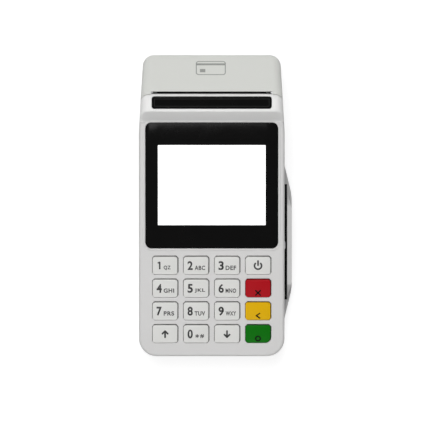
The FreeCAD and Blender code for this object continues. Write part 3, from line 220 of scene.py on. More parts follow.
def noiseOf(tree, place, scale, detail=2.0, roughness=0.5):
    noise = tree.nodes.new("ShaderNodeTexNoise")
    noise.inputs["Scale"].default_value = scale
    noise.inputs["Detail"].default_value = detail
    noise.inputs["Roughness"].default_value = roughness
    tree.links.new(place, noise.inputs["Vector"])
    return noise.outputs["Fac"]


def stretched(tree, place, scale, rotation=(0, 0, 0), location=(0, 0, 0)):
    mapping = tree.nodes.new("ShaderNodeMapping")
    mapping.inputs["Scale"].default_value = scale
    mapping.inputs["Rotation"].default_value = rotation
    mapping.inputs["Location"].default_value = location
    tree.links.new(place, mapping.inputs["Vector"])
    return mapping.outputs["Vector"]


def spread(tree, source, low, high, fromLow=0.0, fromHigh=1.0):
    band = tree.nodes.new("ShaderNodeMapRange")
    band.inputs["From Min"].default_value = fromLow
    band.inputs["From Max"].default_value = fromHigh
    band.inputs["To Min"].default_value = low
    band.inputs["To Max"].default_value = high
    tree.links.new(source, band.inputs["Value"])
    return band.outputs["Result"]


def blendColours(tree, factor, first, second):
    mix = tree.nodes.new("ShaderNodeMix")
    mix.data_type = "RGBA"
    colours = [s for s in mix.inputs if s.type == "RGBA"]
    for socket, value in zip(colours, (first, second)):
        if hasattr(value, "is_output"):
            tree.links.new(value, socket)
        else:
            socket.default_value = (*value, 1)
    tree.links.new(factor, mix.inputs["Factor"])
    return [s for s in mix.outputs if s.type == "RGBA"][0]


def addBump(tree, shader, height, depth, strength=1.0, edge=0.0):
    bump = tree.nodes.new("ShaderNodeBump")
    bump.inputs["Distance"].default_value = depth
    bump.inputs["Strength"].default_value = strength
    tree.links.new(height, bump.inputs["Height"])
    if edge > 0:
        soft = tree.nodes.new("ShaderNodeBevel")
        soft.samples = 4
        soft.inputs["Radius"].default_value = edge
        tree.links.new(soft.outputs["Normal"], bump.inputs["Normal"])
    tree.links.new(bump.outputs["Normal"], shader.inputs["Normal"])


def edgeMask(tree, radius):
    # near 1 along an edge, 0 on flat stretches
    soft = tree.nodes.new("ShaderNodeBevel")
    soft.samples = 4
    soft.inputs["Radius"].default_value = radius
    flat = tree.nodes.new("ShaderNodeNewGeometry")
    dot = tree.nodes.new("ShaderNodeVectorMath")
    dot.operation = "DOT_PRODUCT"
    tree.links.new(soft.outputs["Normal"], dot.inputs[0])
    tree.links.new(flat.outputs["Normal"], dot.inputs[1])
    return spread(tree, dot.outputs["Value"], 1, 0, 0.86, 1.0)


def shade(colour, factor):
    return tuple(min(1.0, c * factor) for c in colour)


def mottled(tree, factor, colour, dark, light):
    # the colour a little darker and a little lighter, as the factor goes from 0 to 1
    return blendColours(tree, factor, shade(colour, dark), shade(colour, light))


def mouldedPlastic(name, colour, roughness=0.42, grain=0.16, depth=0.006, mottle=0.02, edge=0.25, coat=0.0,
                  gloss=0.5):
    # spark-eroded moulded plastic: fine even grain, faint flow marks, and edges painted a little lighter,
    # partly as polish wear and partly as a painted highlight
    material, tree, shader, place = startMaterial(name, colour, roughness, coat=coat)
    shader.inputs["Specular IOR Level"].default_value = gloss
    grit = noiseOf(tree, place, 1 / (grain * mm), 1.0)
    broad = noiseOf(tree, place, 1 / (24 * mm), 3.0)
    tint = mottled(tree, broad, colour, 1 - mottle, 1 + mottle)
    # edges a little lighter: wear and painted highlight
    wearAndEdgeHighlight = blendColours(tree, edgeMask(tree, edge * mm * 1.4), tint, shade(colour, 1 + 2 * mottle))
    tree.links.new(wearAndEdgeHighlight, shader.inputs["Base Color"])
    flow = noiseOf(tree, stretched(tree, place, (1, 0.4, 1)), 1 / (6 * mm), 4.0)
    sheen = spread(tree, flow, roughness - 0.05, roughness + 0.05, 0.3, 0.7)
    tree.links.new(sheen, shader.inputs["Roughness"])
    addBump(tree, shader, grit, depth * mm, 0.8, edge * mm)
    return material


def product(tree, first, second):
    times = tree.nodes.new("ShaderNodeMath")
    times.operation = "MULTIPLY"
    tree.links.new(first, times.inputs[0])
    tree.links.new(second, times.inputs[1])
    return times.outputs[0]


def addBand(material, colour, soft, **limits):
    # another colour where each named coordinate, such as Y or Z, lies between its low and its high limit
    tree = material.node_tree
    shader = tree.nodes["Principled BSDF"]
    place = tree.nodes.new("ShaderNodeTexCoord")
    parts = tree.nodes.new("ShaderNodeSeparateXYZ")
    tree.links.new(place.outputs["Object"], parts.inputs[0])
    inside = None
    for axis, (low, high) in limits.items():
        rise = spread(tree, parts.outputs[axis], 0, 1, low - soft, low + soft)
        fall = spread(tree, parts.outputs[axis], 1, 0, high - soft, high + soft)
        between = product(tree, rise, fall)
        inside = between if inside is None else product(tree, inside, between)
    base = shader.inputs["Base Color"].links[0].from_socket
    tree.links.new(blendColours(tree, inside, base, colour), shader.inputs["Base Color"])


def glossPanel(name, colour, roughness=0.12):
    # hard-coated window, printed from behind: faint haze and a few hairline wipe marks
    material, tree, shader, place = startMaterial(name, colour, roughness)
    shader.inputs["Specular IOR Level"].default_value = 0.12
    haze = noiseOf(tree, place, 1 / (9 * mm), 5.0, 0.6)
    wipes = noiseOf(tree, stretched(tree, place, (1, 9, 1), (0, 0, 0.4)), 1 / (3 * mm), 2.0)
    tree.links.new(mottled(tree, haze, colour, 0.8, 1.25), shader.inputs["Base Color"])
    tree.links.new(spread(tree, haze, roughness - 0.04, roughness + 0.08), shader.inputs["Roughness"])
    addBump(tree, shader, wipes, 0.001 * mm, 0.3, 0.15 * mm)
    return material


def litScreen(name, colour, glow):
    # evenly lit display: the pixel rows are a faint bump, the light varies a little across it
    material, tree, shader, place = startMaterial(name, colour, 0.2, coat=0.4)
    rows = tree.nodes.new("ShaderNodeTexWave")
    rows.wave_type = "BANDS"
    rows.bands_direction = "X"
    rows.inputs["Scale"].default_value = 1 / (0.18 * mm) / 2
    tree.links.new(place, rows.inputs["Vector"])
    soft = noiseOf(tree, place, 1 / (30 * mm), 1.0)
    even = blendColours(tree, soft, shade(colour, 0.985), colour)
    tree.links.new(even, shader.inputs["Base Color"])
    tree.links.new(even, shader.inputs["Emission Color"])
    shader.inputs["Emission Strength"].default_value = glow
    addBump(tree, shader, rows.outputs["Fac"], 0.0006 * mm, 0.2)
    return material


def turnedMetal(name, colour, roughness=0.28, direction=(1, 30, 30)):
    # drawn or rolled metal with fine lines along one direction
    material, tree, shader, place = startMaterial(name, colour, roughness, metallic=1.0)
    lines = noiseOf(tree, stretched(tree, place, direction), 1 / (2 * mm), 6.0, 0.7)
    tree.links.new(mottled(tree, lines, colour, 0.86, 1.05), shader.inputs["Base Color"])
    tree.links.new(spread(tree, lines, roughness - 0.08, roughness + 0.14), shader.inputs["Roughness"])
    addBump(tree, shader, lines, 0.004 * mm, 0.5, 0.1 * mm)
    return material


def softRubber(name, colour, roughness=0.75):
    # matt skin with fine pores and a little dust
    material, tree, shader, place = startMaterial(name, colour, roughness)
    dust = noiseOf(tree, place, 1 / (1.5 * mm), 6.0, 0.7)
    pores = noiseOf(tree, place, 1 / (0.12 * mm), 1.0)
    tree.links.new(mottled(tree, dust, colour, 0.85, 1.3), shader.inputs["Base Color"])
    addBump(tree, shader, pores, 0.01 * mm, 0.6, 0.15 * mm)
    return material


def woundPaper(name, colour, axisY, axisZ):
    # a roll seen from its ends shows its turns as fine rings about its own axis
    material, tree, shader, place = startMaterial(name, colour, 0.7)
    about = stretched(tree, place, (1, 1, 1), location=(0, -axisY, -axisZ))
    rings = tree.nodes.new("ShaderNodeTexWave")
    rings.wave_type = "RINGS"
    rings.rings_direction = "X"
    rings.inputs["Scale"].default_value = 1 / (0.5 * mm) / 6
    rings.inputs["Distortion"].default_value = 0.6
    tree.links.new(about, rings.inputs["Vector"])
    fibre = noiseOf(tree, place, 1 / (0.4 * mm), 4.0)
    tint = blendColours(tree, rings.outputs["Fac"], shade(colour, 0.9), colour)
    tree.links.new(tint, shader.inputs["Base Color"])
    addBump(tree, shader, fibre, 0.01 * mm, 0.5)
    return material


def circuitBoard(name, colour):
    # green lacquer over a plain net of tracks
    material, tree, shader, place = startMaterial(name, colour, 0.35, coat=0.3)
    tracks = tree.nodes.new("ShaderNodeTexBrick")
    tracks.inputs["Scale"].default_value = 1 / (6 * mm)
    tracks.inputs["Mortar Size"].default_value = 0.02
    tracks.inputs["Color1"].default_value = (*shade(colour, 0.9), 1)
    tracks.inputs["Color2"].default_value = (*colour, 1)
    tracks.inputs["Mortar"].default_value = (*shade(colour, 1.6), 1)
    tree.links.new(place, tracks.inputs["Vector"])
    tree.links.new(tracks.outputs["Color"], shader.inputs["Base Color"])
    addBump(tree, shader, tracks.outputs["Fac"], 0.03 * mm, 0.4)
    return material


def printedInk(name, colour, gloss=0.5):
    # pad-printed ink: slightly uneven cover and a satin skin
    material, tree, shader, place = startMaterial(name, colour, 0.5)
    shader.inputs["Specular IOR Level"].default_value = gloss
    cover = noiseOf(tree, place, 1 / (0.35 * mm), 3.0)
    tree.links.new(mottled(tree, cover, colour, 0.8, 1.25), shader.inputs["Base Color"])
    addBump(tree, shader, cover, 0.003 * mm, 0.5)
    return material


roll = {"axisY": 59.85 * mm, "axisZ": 19.5 * mm}
colouredKey = {"grain": 0.12, "roughness": 0.36, "gloss": 0.15}
finish = {
    "case": mouldedPlastic("case light grey", (0.66, 0.655, 0.65)),
    "lower": mouldedPlastic("lower case grey", (0.56, 0.56, 0.555)),
    # painted shade for the inside of the swipe slot
    "slotBlack": mouldedPlastic("slot black", (0.006, 0.006, 0.006), roughness=0.5, mottle=0.15,
                                gloss=0.15),
    "cover": mouldedPlastic("cover pale grey", (0.74, 0.75, 0.715)),
    "door": mouldedPlastic("door grey", (0.55, 0.55, 0.54)),
    "keyGrey": mouldedPlastic("key grey", (0.74, 0.74, 0.72), roughness=0.38, grain=0.12),
    "keyRed": mouldedPlastic("key red", (0.42, 0.004, 0.010), mottle=0.05, **colouredKey),
    "keyYellow": mouldedPlastic("key yellow", (0.76, 0.44, 0.001), mottle=0.03, **colouredKey),
    "keyGreen": mouldedPlastic("key green", (0.001, 0.155, 0.001), mottle=0.05, **colouredKey),
    "inner": mouldedPlastic("inner black plastic", (0.035, 0.035, 0.036), roughness=0.5, mottle=0.15),
    "battery": mouldedPlastic("battery wrap", (0.045, 0.046, 0.05), roughness=0.3, mottle=0.2, coat=0.3),
    "acetal": mouldedPlastic("white acetal", (0.80, 0.79, 0.74), roughness=0.35, mottle=0.03, edge=0.08),
    "led": mouldedPlastic("clear light lens", (0.10, 0.11, 0.10), roughness=0.2, mottle=0.1, coat=0.5),
    "panel": glossPanel("black window", (0.003, 0.003, 0.003)),
    "panelLine": glossPanel("window frame line", (0.022, 0.022, 0.022), 0.3),
    # painted shade for the gaps round the key caps
    "darkSilicone": softRubber("dark silicone", (0.02, 0.02, 0.02)),
    "screen": litScreen("white screen", (1.0, 1.0, 1.0), 0.55),
    "steel": turnedMetal("rolled steel", (0.56, 0.56, 0.57)),
    "darkSteel": turnedMetal("dark tooth steel", (0.10, 0.10, 0.10), 0.4),
    "alu": turnedMetal("drawn aluminium", (0.72, 0.72, 0.73), 0.34),
    "gold": turnedMetal("gold contact", (0.83, 0.62, 0.28), 0.22),
    "rubber": softRubber("black rubber", (0.022, 0.022, 0.022)),
    "silicone": softRubber("grey silicone", (0.24, 0.24, 0.25), 0.6),
    "paper": woundPaper("thermal paper", (0.82, 0.82, 0.80), roll["axisY"], roll["axisZ"]),
    "card": softRubber("cardboard core", (0.42, 0.31, 0.19), 0.85),
    "board": circuitBoard("green board", (0.012, 0.11, 0.04)),
    "ink": printedInk("dark ink", (0.045, 0.045, 0.045)),
    "paleInk": printedInk("grey ink", (0.065, 0.065, 0.065)),
    "blackInk": printedInk("black ink", (0.004, 0.004, 0.004), gloss=0.08),
    "signInk": printedInk("sign ink", (0.33, 0.34, 0.32)),
}

# painted shade: a dark line on the lower case where the two halves of the case meet, standing for the shadow
# of a gap; and a painted highlight that makes the top of the ridge round the indicator window whiter
seamShade = {"gap": 0.3 * mm, "soft": 0.04 * mm, "colour": (0.13, 0.13, 0.13)}
ridgeHighlight = {"near": 45.0 * mm, "far": 60.65 * mm, "foot": 40.5 * mm, "soft": 0.5 * mm,
         "colour": (0.86, 0.86, 0.85)}
seamLevel = min(v.co.z for v in nodes["top_housing"].data.vertices)
# painted shade: the top of the lower case is darkened as the shadow of a gap between the halves
addBand(finish["lower"], seamShade["colour"], seamShade["soft"], Z=(seamLevel - seamShade["gap"], seamLevel))
# painted highlight: only the top of the ridge is coloured whiter, where the light makes it look bright
addBand(finish["case"], ridgeHighlight["colour"], ridgeHighlight["soft"], Y=(ridgeHighlight["near"], ridgeHighlight["far"]),
        Z=(ridgeHighlight["foot"], cadBox[1].z))
print("materials ready:", len(finish))

finishOfNode = {
    "top_housing": "case", "bottom_housing": "lower", "printer_cover": "cover", "battery_door": "door",
    "cover_hinge_pin": "steel", "rubber_feet": "rubber", "case_screws": "steel", "display_window": "panel",
    "lcd_module": "screen", "indicator_window": "panel", "indicator_leds": "led", "indicator_board": "board",
    "keypad_mat": "silicone", "key_domes": "steel", "main_board": "board", "backup_cell": "steel",
    "chip_card_reader": "inner", "chip_contacts": "gold", "swipe_head": "steel", "head_spring": "steel",
    "battery_pack": "battery", "battery_contacts": "gold", "charging_port": "steel", "port_tongue": "inner",
    "printer_frame": "steel", "feed_motor": "steel", "motor_shaft": "steel", "print_head": "alu",
    "head_springs": "steel", "tear_bar": "darkSteel", "platen_rubber": "rubber", "platen_shaft": "steel",
    "platen_bushes": "acetal", "paper_tray": "inner", "paper_roll": "paper", "paper_core": "card",
    "motor_pinion": "gold", "idler_gear": "acetal", "platen_gear": "acetal",
}
for name, obj in nodes.items():
    wear(obj, finish[finishOfNode.get(name, "keyGrey")])
print("CAD pieces dressed")


# display window: black border and a lit screen, one plate with round corners

display = {"cornerRadius": 3.3 * mm, "screenWidth": 57.6 * mm, "screenLength": 43.2 * mm, "rim": 0.25 * mm}


def makeDisplayWindow():
    low, high = frontBox("display_window")
    screenLow, screenHigh = frontBox("lcd_module")
    middle = (screenLow + screenHigh) / 2
    obj = startBlock("displayGlass", low, high)
    bevelEdges(obj, upright, display["cornerRadius"], 10)
    bevelEdges(obj, lambda a, b: min(a.z, b.z) > high.z - fine, display["rim"], 3)
    halfX, halfY = display["screenWidth"] / 2, display["screenLength"] / 2
    for point, direction in (((halfX, 0, 0), (1, 0, 0)), ((-halfX, 0, 0), (1, 0, 0)),
                             ((0, middle.y + halfY, 0), (0, 1, 0)), ((0, middle.y - halfY, 0), (0, 1, 0))):
        chooseFaces(obj, lambda face: face.normal.z > same)
        bpy.ops.mesh.bisect(plane_co=point, plane_no=direction, threshold=fine)
        leaveEdit()
    wear(obj, finish["panel"], finish["screen"])
    for face in obj.data.polygons:
        inside = abs(face.center.x) < halfX and abs(face.center.y - middle.y) < halfY
        if face.normal.z > same and inside:
            face.material_index = 1
    smoothByAngle(obj)
    placeOn(obj, frontPlace)
    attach(obj, "terminal")
    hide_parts("display_window")


makeDisplayWindow()
print("display window made")


# raised lip: a low moulded frame round the display window

lip = {"outset": 1.35 * mm, "gap": 0.12 * mm, "rise": 0.22 * mm, "sunk": 0.5 * mm, "round": 0.3 * mm,
       "smooth": 50}


def makeDisplayLip():
    low, high = frontBox("display_window")
    grow = Vector((lip["outset"], lip["outset"], 0))
    spare = Vector((lip["gap"], lip["gap"], 0))
    outer = (Vector((low.x, low.y, -lip["sunk"])) - grow,
             Vector((high.x, high.y, lip["rise"])) + grow)
    inner = (Vector((low.x, low.y, -3 * lip["sunk"])) - spare,
             Vector((high.x, high.y, 3 * lip["rise"])) + spare)
    blocks = []
    for name, box, wider in (("displayLip", outer, lip["outset"]), ("lipHole", inner, lip["gap"])):
        block = startBlock(name, *box)
        bevelEdges(block, upright, display["cornerRadius"] + wider, 10)
        blocks.append(block)
    obj, hole = blocks
    applyModifier(obj, "BOOLEAN", operation="DIFFERENCE", object=hole, solver="EXACT")
    bpy.data.objects.remove(hole)
    activate(obj)
    bevelEdges(obj, lambda a, b: min(a.z, b.z) > lip["rise"] - fine, lip["round"], 3)
    wear(obj, finish["case"])
    smoothByAngle(obj, lip["smooth"])
    placeOn(obj, frontPlace)
    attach(obj, "terminal")


makeDisplayLip()
print("display lip made")


# indicator window: a black plate with round corners and a fine frame line inside its edge

indicator = {"cornerRadius": 1.4 * mm, "rim": 0.2 * mm, "lineInset": 1.0 * mm, "lineWidth": 0.28 * mm}


def makeIndicatorWindow():
    low, high = frontBox("indicator_window")
    obj = startBlock("indicatorGlass", low, high)
    bevelEdges(obj, upright, indicator["cornerRadius"], 8)
    bevelEdges(obj, lambda a, b: min(a.z, b.z) > high.z - fine, indicator["rim"], 3)
    wear(obj, finish["panel"], finish["panelLine"])
    chooseFaces(obj, lambda face: face.normal.z > same)
    bpy.ops.mesh.inset(thickness=indicator["lineInset"], depth=0)
    obj.active_material_index = 1
    bpy.ops.object.material_slot_assign()
    bpy.ops.mesh.inset(thickness=indicator["lineWidth"], depth=0)
    obj.active_material_index = 0
    bpy.ops.object.material_slot_assign()
    leaveEdit()
    smoothByAngle(obj)
    placeOn(obj, frontPlace)
    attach(obj, "terminal")
    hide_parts("indicator_window")


makeIndicatorWindow()
print("indicator window made")


# swipe slot: a thin black sheet on its two sides and its floor, painted shade for the dark inside of the slot

swipe = {"bodySide": 39.0 * mm, "wallSide": 40.4 * mm, "near": 28.5 * mm, "far": 91.0 * mm,
         "wallNear": 38.6 * mm, "wallFar": 80.2 * mm, "wallTop": -4.95 * mm, "floor": -15.35 * mm,
         "sheet": 0.1 * mm, "gap": 0.02 * mm}


def makeSlotShadeSheet():
    left = swipe["bodySide"] + swipe["gap"]
    right = swipe["wallSide"] - swipe["gap"]
    bottom = swipe["floor"] + swipe["gap"]
    top = swipe["wallTop"] - 3 * swipe["sheet"]
    sheet = swipe["sheet"]
    parts = [startBlock("lining", (left, swipe["near"], bottom), (right, swipe["far"], bottom + sheet))]
    for start in (left, right - sheet):
        parts.append(startBlock("lining", (start, swipe["wallNear"], bottom),
                                (start + sheet, swipe["wallFar"], top)))
    obj = joinAll("slotLining", parts)
    # painted shade: the sheet is black so the slot reads as dark
    wear(obj, finish["slotBlack"])
    placeOn(obj, frontPlace)
    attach(obj, "terminal")


makeSlotShadeSheet()
print("slot lining made")


# cover sign: a plain card outline with its stripe and contact plate, raised a little; its grey colour is
# painted shade of its edges

sign = {"across": -0.5 * mm, "along": 73.6 * mm, "width": 16.0 * mm, "height": 9.6 * mm, "corner": 1.6 * mm,
        "line": 0.5 * mm, "rise": 0.06 * mm, "sunk": 0.3 * mm, "stripe": 1.3 * mm, "stripeDrop": 2.86 * mm,
        "plateLeft": 2.2 * mm, "plateUp": 1.9 * mm, "plateWidth": 2.86 * mm, "plateHeight": 2.2 * mm}


def makeCoverSign():
    above = Vector((sign["across"], sign["along"], cadBox[1].z + 10 * mm))
    spot, normal = nodes["printer_cover"].ray_cast(above, Vector((0, 0, -1)))[1:3]
    slope = math.atan2(normal.y, normal.z)
    halfWidth, halfHeight = sign["width"] / 2, sign["height"] / 2
    card = startBlock("card", (-halfWidth, -halfHeight, -sign["sunk"]),
                      (halfWidth, halfHeight, sign["rise"]))
    bevelEdges(card, upright, sign["corner"], 6)
    chooseFaces(card, lambda face: face.normal.z > same)
    bpy.ops.mesh.inset(thickness=sign["line"], depth=0)
    bpy.ops.mesh.extrude_region_move(TRANSFORM_OT_translate={"value": (0, 0, -sign["sunk"] / 2)})
    leaveEdit()
    stripeY = halfHeight - sign["stripeDrop"]
    stripe = startBlock("stripe", (-halfWidth, stripeY, -sign["sunk"]),
                        (halfWidth, stripeY + sign["stripe"], sign["rise"]))
    plateX, plateY = -halfWidth + sign["plateLeft"], -halfHeight + sign["plateUp"]
    plate = startBlock("plate", (plateX, plateY, -sign["sunk"]),
                       (plateX + sign["plateWidth"], plateY + sign["plateHeight"], sign["rise"]))
    obj = joinAll("coverSign", [card, stripe, plate])
    # painted shade: the raised sign is coloured grey, as its shaded edges look
    wear(obj, finish["signInk"])
    placeOn(obj, Matrix.Translation(spot) @ Matrix.Rotation(-slope, 4, "X"))
    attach(obj, "cover")


makeCoverSign()
print("cover sign made")


# feet and screws: round ones in the four corners, a little smaller than the flat-sided ones they replace

foot = {"inside": 0.98, "round": 0.35 * mm, "sides": 48}
screw = {"inside": 0.97, "headRound": 0.4 * mm, "headSides": 40, "recess": 0.9 * mm,
         "recessWidth": 0.45 * mm, "recessLength": 2.1 * mm, "shank": 1.0 * mm, "shankSides": 24,
         "shankOverlap": 0.1 * mm, "headTop": 2.0 * mm, "thread": 0.16 * mm, "threadSide": 0.256 * mm,
         "threadStart": 0.2 * mm, "threadReach": 0.97, "threadSteps": 16, "pitch": 0.9 * mm}


def cornerBoxes(nodeName):
    # the boxes of the four copies of a piece that stands once in each corner of the base
    boxes = []
    for right in (False, True):
        for far in (False, True):
            boxes.append(boxOf([v.co for v in nodes[nodeName].data.vertices
                                if (v.co.x > 0) == right and (v.co.y > 0) == far]))
    return boxes


def makeFoot(low, high):
    radius = (high.x - low.x) / 2 * foot["inside"]
    obj = startDisc("foot", radius, high.z - low.z, (low + high) / 2, foot["sides"])
    bevelEdges(obj, lambda a, b: max(a.z, b.z) < low.z + fine, foot["round"], 4)
    return obj


def makeScrew(low, high):
    # a cross-recessed pan head with a threaded shank above it
    centre = (low + high) / 2
    headHeight = screw["headTop"] - low.z
    head = startDisc("head", (high.x - low.x) / 2 * screw["inside"], headHeight,
                     (centre.x, centre.y, low.z + headHeight / 2), screw["headSides"])
    bevelEdges(head, lambda a, b: max(a.z, b.z) < low.z + fine, screw["headRound"], 4)
    for length, width in ((screw["recessLength"], screw["recessWidth"]),
                          (screw["recessWidth"], screw["recessLength"])):
        arm = startBlock("arm", (centre.x - length / 2, centre.y - width / 2, low.z - screw["recess"]),
                         (centre.x + length / 2, centre.y + width / 2, low.z + screw["recess"]))
        applyModifier(head, "BOOLEAN", operation="DIFFERENCE", object=arm, solver="EXACT")
        bpy.data.objects.remove(arm)
    run = high.z - screw["headTop"]
    turns = int(run / screw["pitch"])
    core = screw["shank"] - screw["thread"]
    shank = startDisc("shank", core, run + 2 * screw["shankOverlap"],
                      (centre.x, centre.y, screw["headTop"] + run / 2 - screw["shankOverlap"]),
                      screw["shankSides"])
    deselectAll()
    bpy.ops.mesh.primitive_circle_add(vertices=3, radius=screw["threadSide"], fill_type="NGON",
                                      location=(core, 0, 0), rotation=(math.radians(90), 0, 0))
    thread = bpy.context.object
    thread.name = "thread"
    bpy.ops.object.transform_apply(location=True, rotation=True, scale=True)
    steps = screw["threadSteps"] * turns
    applyModifier(thread, "SCREW", angle=2 * math.pi * turns, steps=steps, render_steps=steps,
                  screw_offset=turns * screw["pitch"] * screw["threadReach"], axis="Z",
                  use_merge_vertices=True, merge_threshold=fine)
    placeOn(thread, Matrix.Translation((centre.x, centre.y, screw["headTop"] + screw["threadStart"])))
    activate(thread)
    bpy.ops.object.mode_set(mode="EDIT")
    turnFacesOut()
    return joinAll("screw", [head, shank, thread])


for nodeName, name, makeOne, material, slot in (("rubber_feet", "roundFeet", makeFoot, "rubber", "rubber"),
                                                ("case_screws", "roundScrews", makeScrew, "steel", "steel")):
    four = joinAll(name, [makeOne(low, high) for low, high in cornerBoxes(nodeName)])
    wear(four, finish[material])
    smoothByAngle(four)
    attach(four, "terminal")
    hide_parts(nodeName)
print("feet and screws made")


# keys: moulded caps with round corners, a sloping top, a holding flange and a plunger

key = {"cornerRadius": 1.4 * mm, "enterRadius": 3.0 * mm, "topRound": 0.32 * mm, "flange": 0.8 * mm,
       "flangeThickness": 0.8 * mm, "plunger": 4.0 * mm, "farLift": 1.1 * mm, "nearLift": 0.15 * mm,
       "bottom": -2.1 * mm, "length": 9.6 * mm, "smooth": 40,
       "aside": (-0.12 * mm, -0.19 * mm)}  # how far each cap sits off the middle of its opening
keyFinish = {"key_cancel": "keyRed", "key_clear": "keyYellow", "key_enter": "keyGreen"}
keyNames = [name for name in sorted(nodes) if name.startswith("key_") and name != "key_domes"]


def makeKeyCap(name, nodeName, enterCorner):
    low, high = frontBox(nodeName)
    half = (high - low) / 2
    width = 2 * (half.x - key["flange"])
    length = 2 * (half.y - key["flange"])
    capBottom = key["bottom"]
    obj = startBlock(name, (-width / 2, -length / 2, capBottom), (width / 2, length / 2, key["farLift"]))

    def enterEdge(a, b):
        return enterCorner and a.x > 0 and a.y < 0

    bevelEdges(obj, lambda a, b: upright(a, b) and not enterEdge(a, b), key["cornerRadius"], 6)
    if enterCorner:
        bevelEdges(obj, lambda a, b: upright(a, b) and enterEdge(a, b), key["enterRadius"], 9)
    rise = key["farLift"] - key["nearLift"]
    slope = Vector((0, -rise, length)).normalized()
    chooseFaces(obj, lambda face: True)
    bpy.ops.mesh.bisect(plane_co=(0, -length / 2, key["nearLift"]), plane_no=slope, use_fill=True,
                        clear_outer=True, threshold=fine)
    leaveEdit()
    chooseFaces(obj, lambda face: face.normal.dot(slope) > same)
    bpy.ops.mesh.region_to_loop()
    bpy.ops.mesh.bevel(offset=key["topRound"], segments=4, affect="EDGES")
    leaveEdit()
    chooseFaces(obj, lambda face: face.normal.z < -same)
    grow = 1 + 2 * key["flange"] / width, 1 + 2 * key["flange"] / length, 1
    shrink = key["plunger"] / width / grow[0], key["plunger"] / length / grow[1], 1
    flangeBottom = capBottom - key["flangeThickness"]
    for size, height, drop in ((grow, capBottom, -key["flangeThickness"]),
                               (shrink, flangeBottom, low.z - flangeBottom)):
        bpy.ops.mesh.extrude_region_move(TRANSFORM_OT_translate={"value": (0, 0, 0)})
        bpy.ops.transform.resize(value=size, center_override=(0, 0, height))
        bpy.ops.mesh.extrude_region_move(TRANSFORM_OT_translate={"value": (0, 0, drop)})
    leaveEdit()
    # painted shade: the flange and plunger are near black so the gaps round the caps read as dark
    wear(obj, finish["keyGrey"], finish["darkSilicone"])
    for face in obj.data.polygons:
        if face.center.z < capBottom + fine:
            face.material_index = 1
    smoothByAngle(obj, key["smooth"])
    return obj


plainCap = makeKeyCap("plainCap", "key_5", False)
enterCap = makeKeyCap("enterCap", "key_enter", True)
keyTopSlope = math.atan((key["farLift"] - key["nearLift"]) / key["length"])
keyTopPlace = {}
for name in keyNames:
    low, high = frontBox(name)
    aside = Vector((*key["aside"], 0))
    middle = Matrix.Translation(Vector(((low.x + high.x) / 2, (low.y + high.y) / 2, 0)) + aside)
    keyTopPlace[name] = (frontPlace @ middle
                         @ Matrix.Translation((0, 0, (key["farLift"] + key["nearLift"]) / 2))
                         @ Matrix.Rotation(keyTopSlope, 4, "X"))
    cap = copyOf(enterCap if name == "key_enter" else plainCap, name.replace("key_", "cap_"))
    placeOn(cap, frontPlace @ middle)
    cap.data.materials[0] = finish[keyFinish.get(name, "keyGrey")]
    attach(cap, name)
    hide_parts(name)
bpy.data.objects.remove(plainCap)
bpy.data.objects.remove(enterCap)
print("keys made:", len(keyNames))


# legends: pad-printed digits, telephone letters, arrows and simple signs

legend = {"base": -2.35 * mm, "ink": 0.02 * mm, "lift": 0.002 * mm, "bold": 0.03, "spacing": 1.12,
          "digitHeight": 4.9 * mm, "digitX": -3.15 * mm, "digitWidth": 2.8 * mm,
          "letterHeight": 2.4 * mm, "letterWidth": 1.87 * mm, "letterLeft": -0.75 * mm}
oneBars = {"x": -2.85 * mm, "stroke": 0.85 * mm, "flagStroke": 0.68 * mm, "flagAcross": 1.05 * mm,
           "flagDrop": 1.2 * mm}
star = {"x": 0.6 * mm, "up": 1.3 * mm, "reach": 1.05 * mm, "stroke": 0.42 * mm}
hashMark = {"x": 3.2 * mm, "up": 0.2 * mm, "width": 2.1 * mm, "height": 2.2 * mm}
arrow = {"tip": 1.65 * mm, "tail": 1.7 * mm, "stemTop": 1.2 * mm, "barbAcross": 1.4 * mm,
         "barbUp": 0.25 * mm, "stroke": 0.95 * mm}
powerSign = {"radius": 1.9 * mm, "stroke": 0.9 * mm, "gap": 38, "barLow": 0.3 * mm, "barHigh": 2.6 * mm}
keySign = {"y": -2.4 * mm, "reach": 1.25 * mm, "lean": 0.875 * mm, "stroke": 0.75 * mm}
letterGroups = {"key_1": "QZ", "key_2": "ABC", "key_3": "DEF", "key_4": "GHI", "key_5": "JKL", "key_6": "MNO",
                "key_7": "PRS", "key_8": "TUV", "key_9": "WXY"}


def makeWord(name, text, height, width, x, y):
    # a word stretched to its width and height, standing on y with its middle at x
    deselectAll()
    bpy.ops.object.text_add(location=(0, 0, 0))
    obj = bpy.context.object
    obj.name = name
    obj.data.body = text
    obj.data.size = 1.0
    obj.data.align_x = "CENTER"
    obj.data.offset = legend["bold"]
    obj.data.resolution_u = 6
    obj.data.space_character = legend["spacing"] if len(text) > 1 else 1.0
    bpy.ops.object.convert(target="MESH")
    obj = bpy.context.object
    low, high = boxOf([v.co for v in obj.data.vertices])
    placeOn(obj, Matrix.Translation((x, y, 0))
            @ Matrix.Diagonal((width / (high.x - low.x), height / (high.y - low.y), 1, 1))
            @ Matrix.Translation((-(low.x + high.x) / 2, -low.y, 0)))
    activate(obj)
    bpy.ops.object.mode_set(mode="EDIT")
    bpy.ops.mesh.select_all(action="SELECT")
    bpy.ops.mesh.remove_doubles(threshold=fine)
    bpy.ops.mesh.extrude_region_move(TRANSFORM_OT_translate={"value": (0, 0, legend["ink"])})
    turnFacesOut()
    return obj


def makeBar(name, start, end, width, roundEnds=True):
    # one printed stroke: a flat bar from start to end, with half-round ends or cut square
    run = Vector(end) - Vector(start)
    turn = math.atan2(run.y, run.x)
    half = (run.length + (width if roundEnds else 0)) / 2
    obj = startBlock(name, (-half, -width / 2, 0), (half, width / 2, legend["ink"]))
    if roundEnds:
        bevelEdges(obj, upright, width * 0.499, 6)
    middle = (Vector(start) + Vector(end)) / 2
    placeOn(obj, Matrix.Translation((middle.x, middle.y, 0)) @ Matrix.Rotation(turn, 4, "Z"))
    return obj


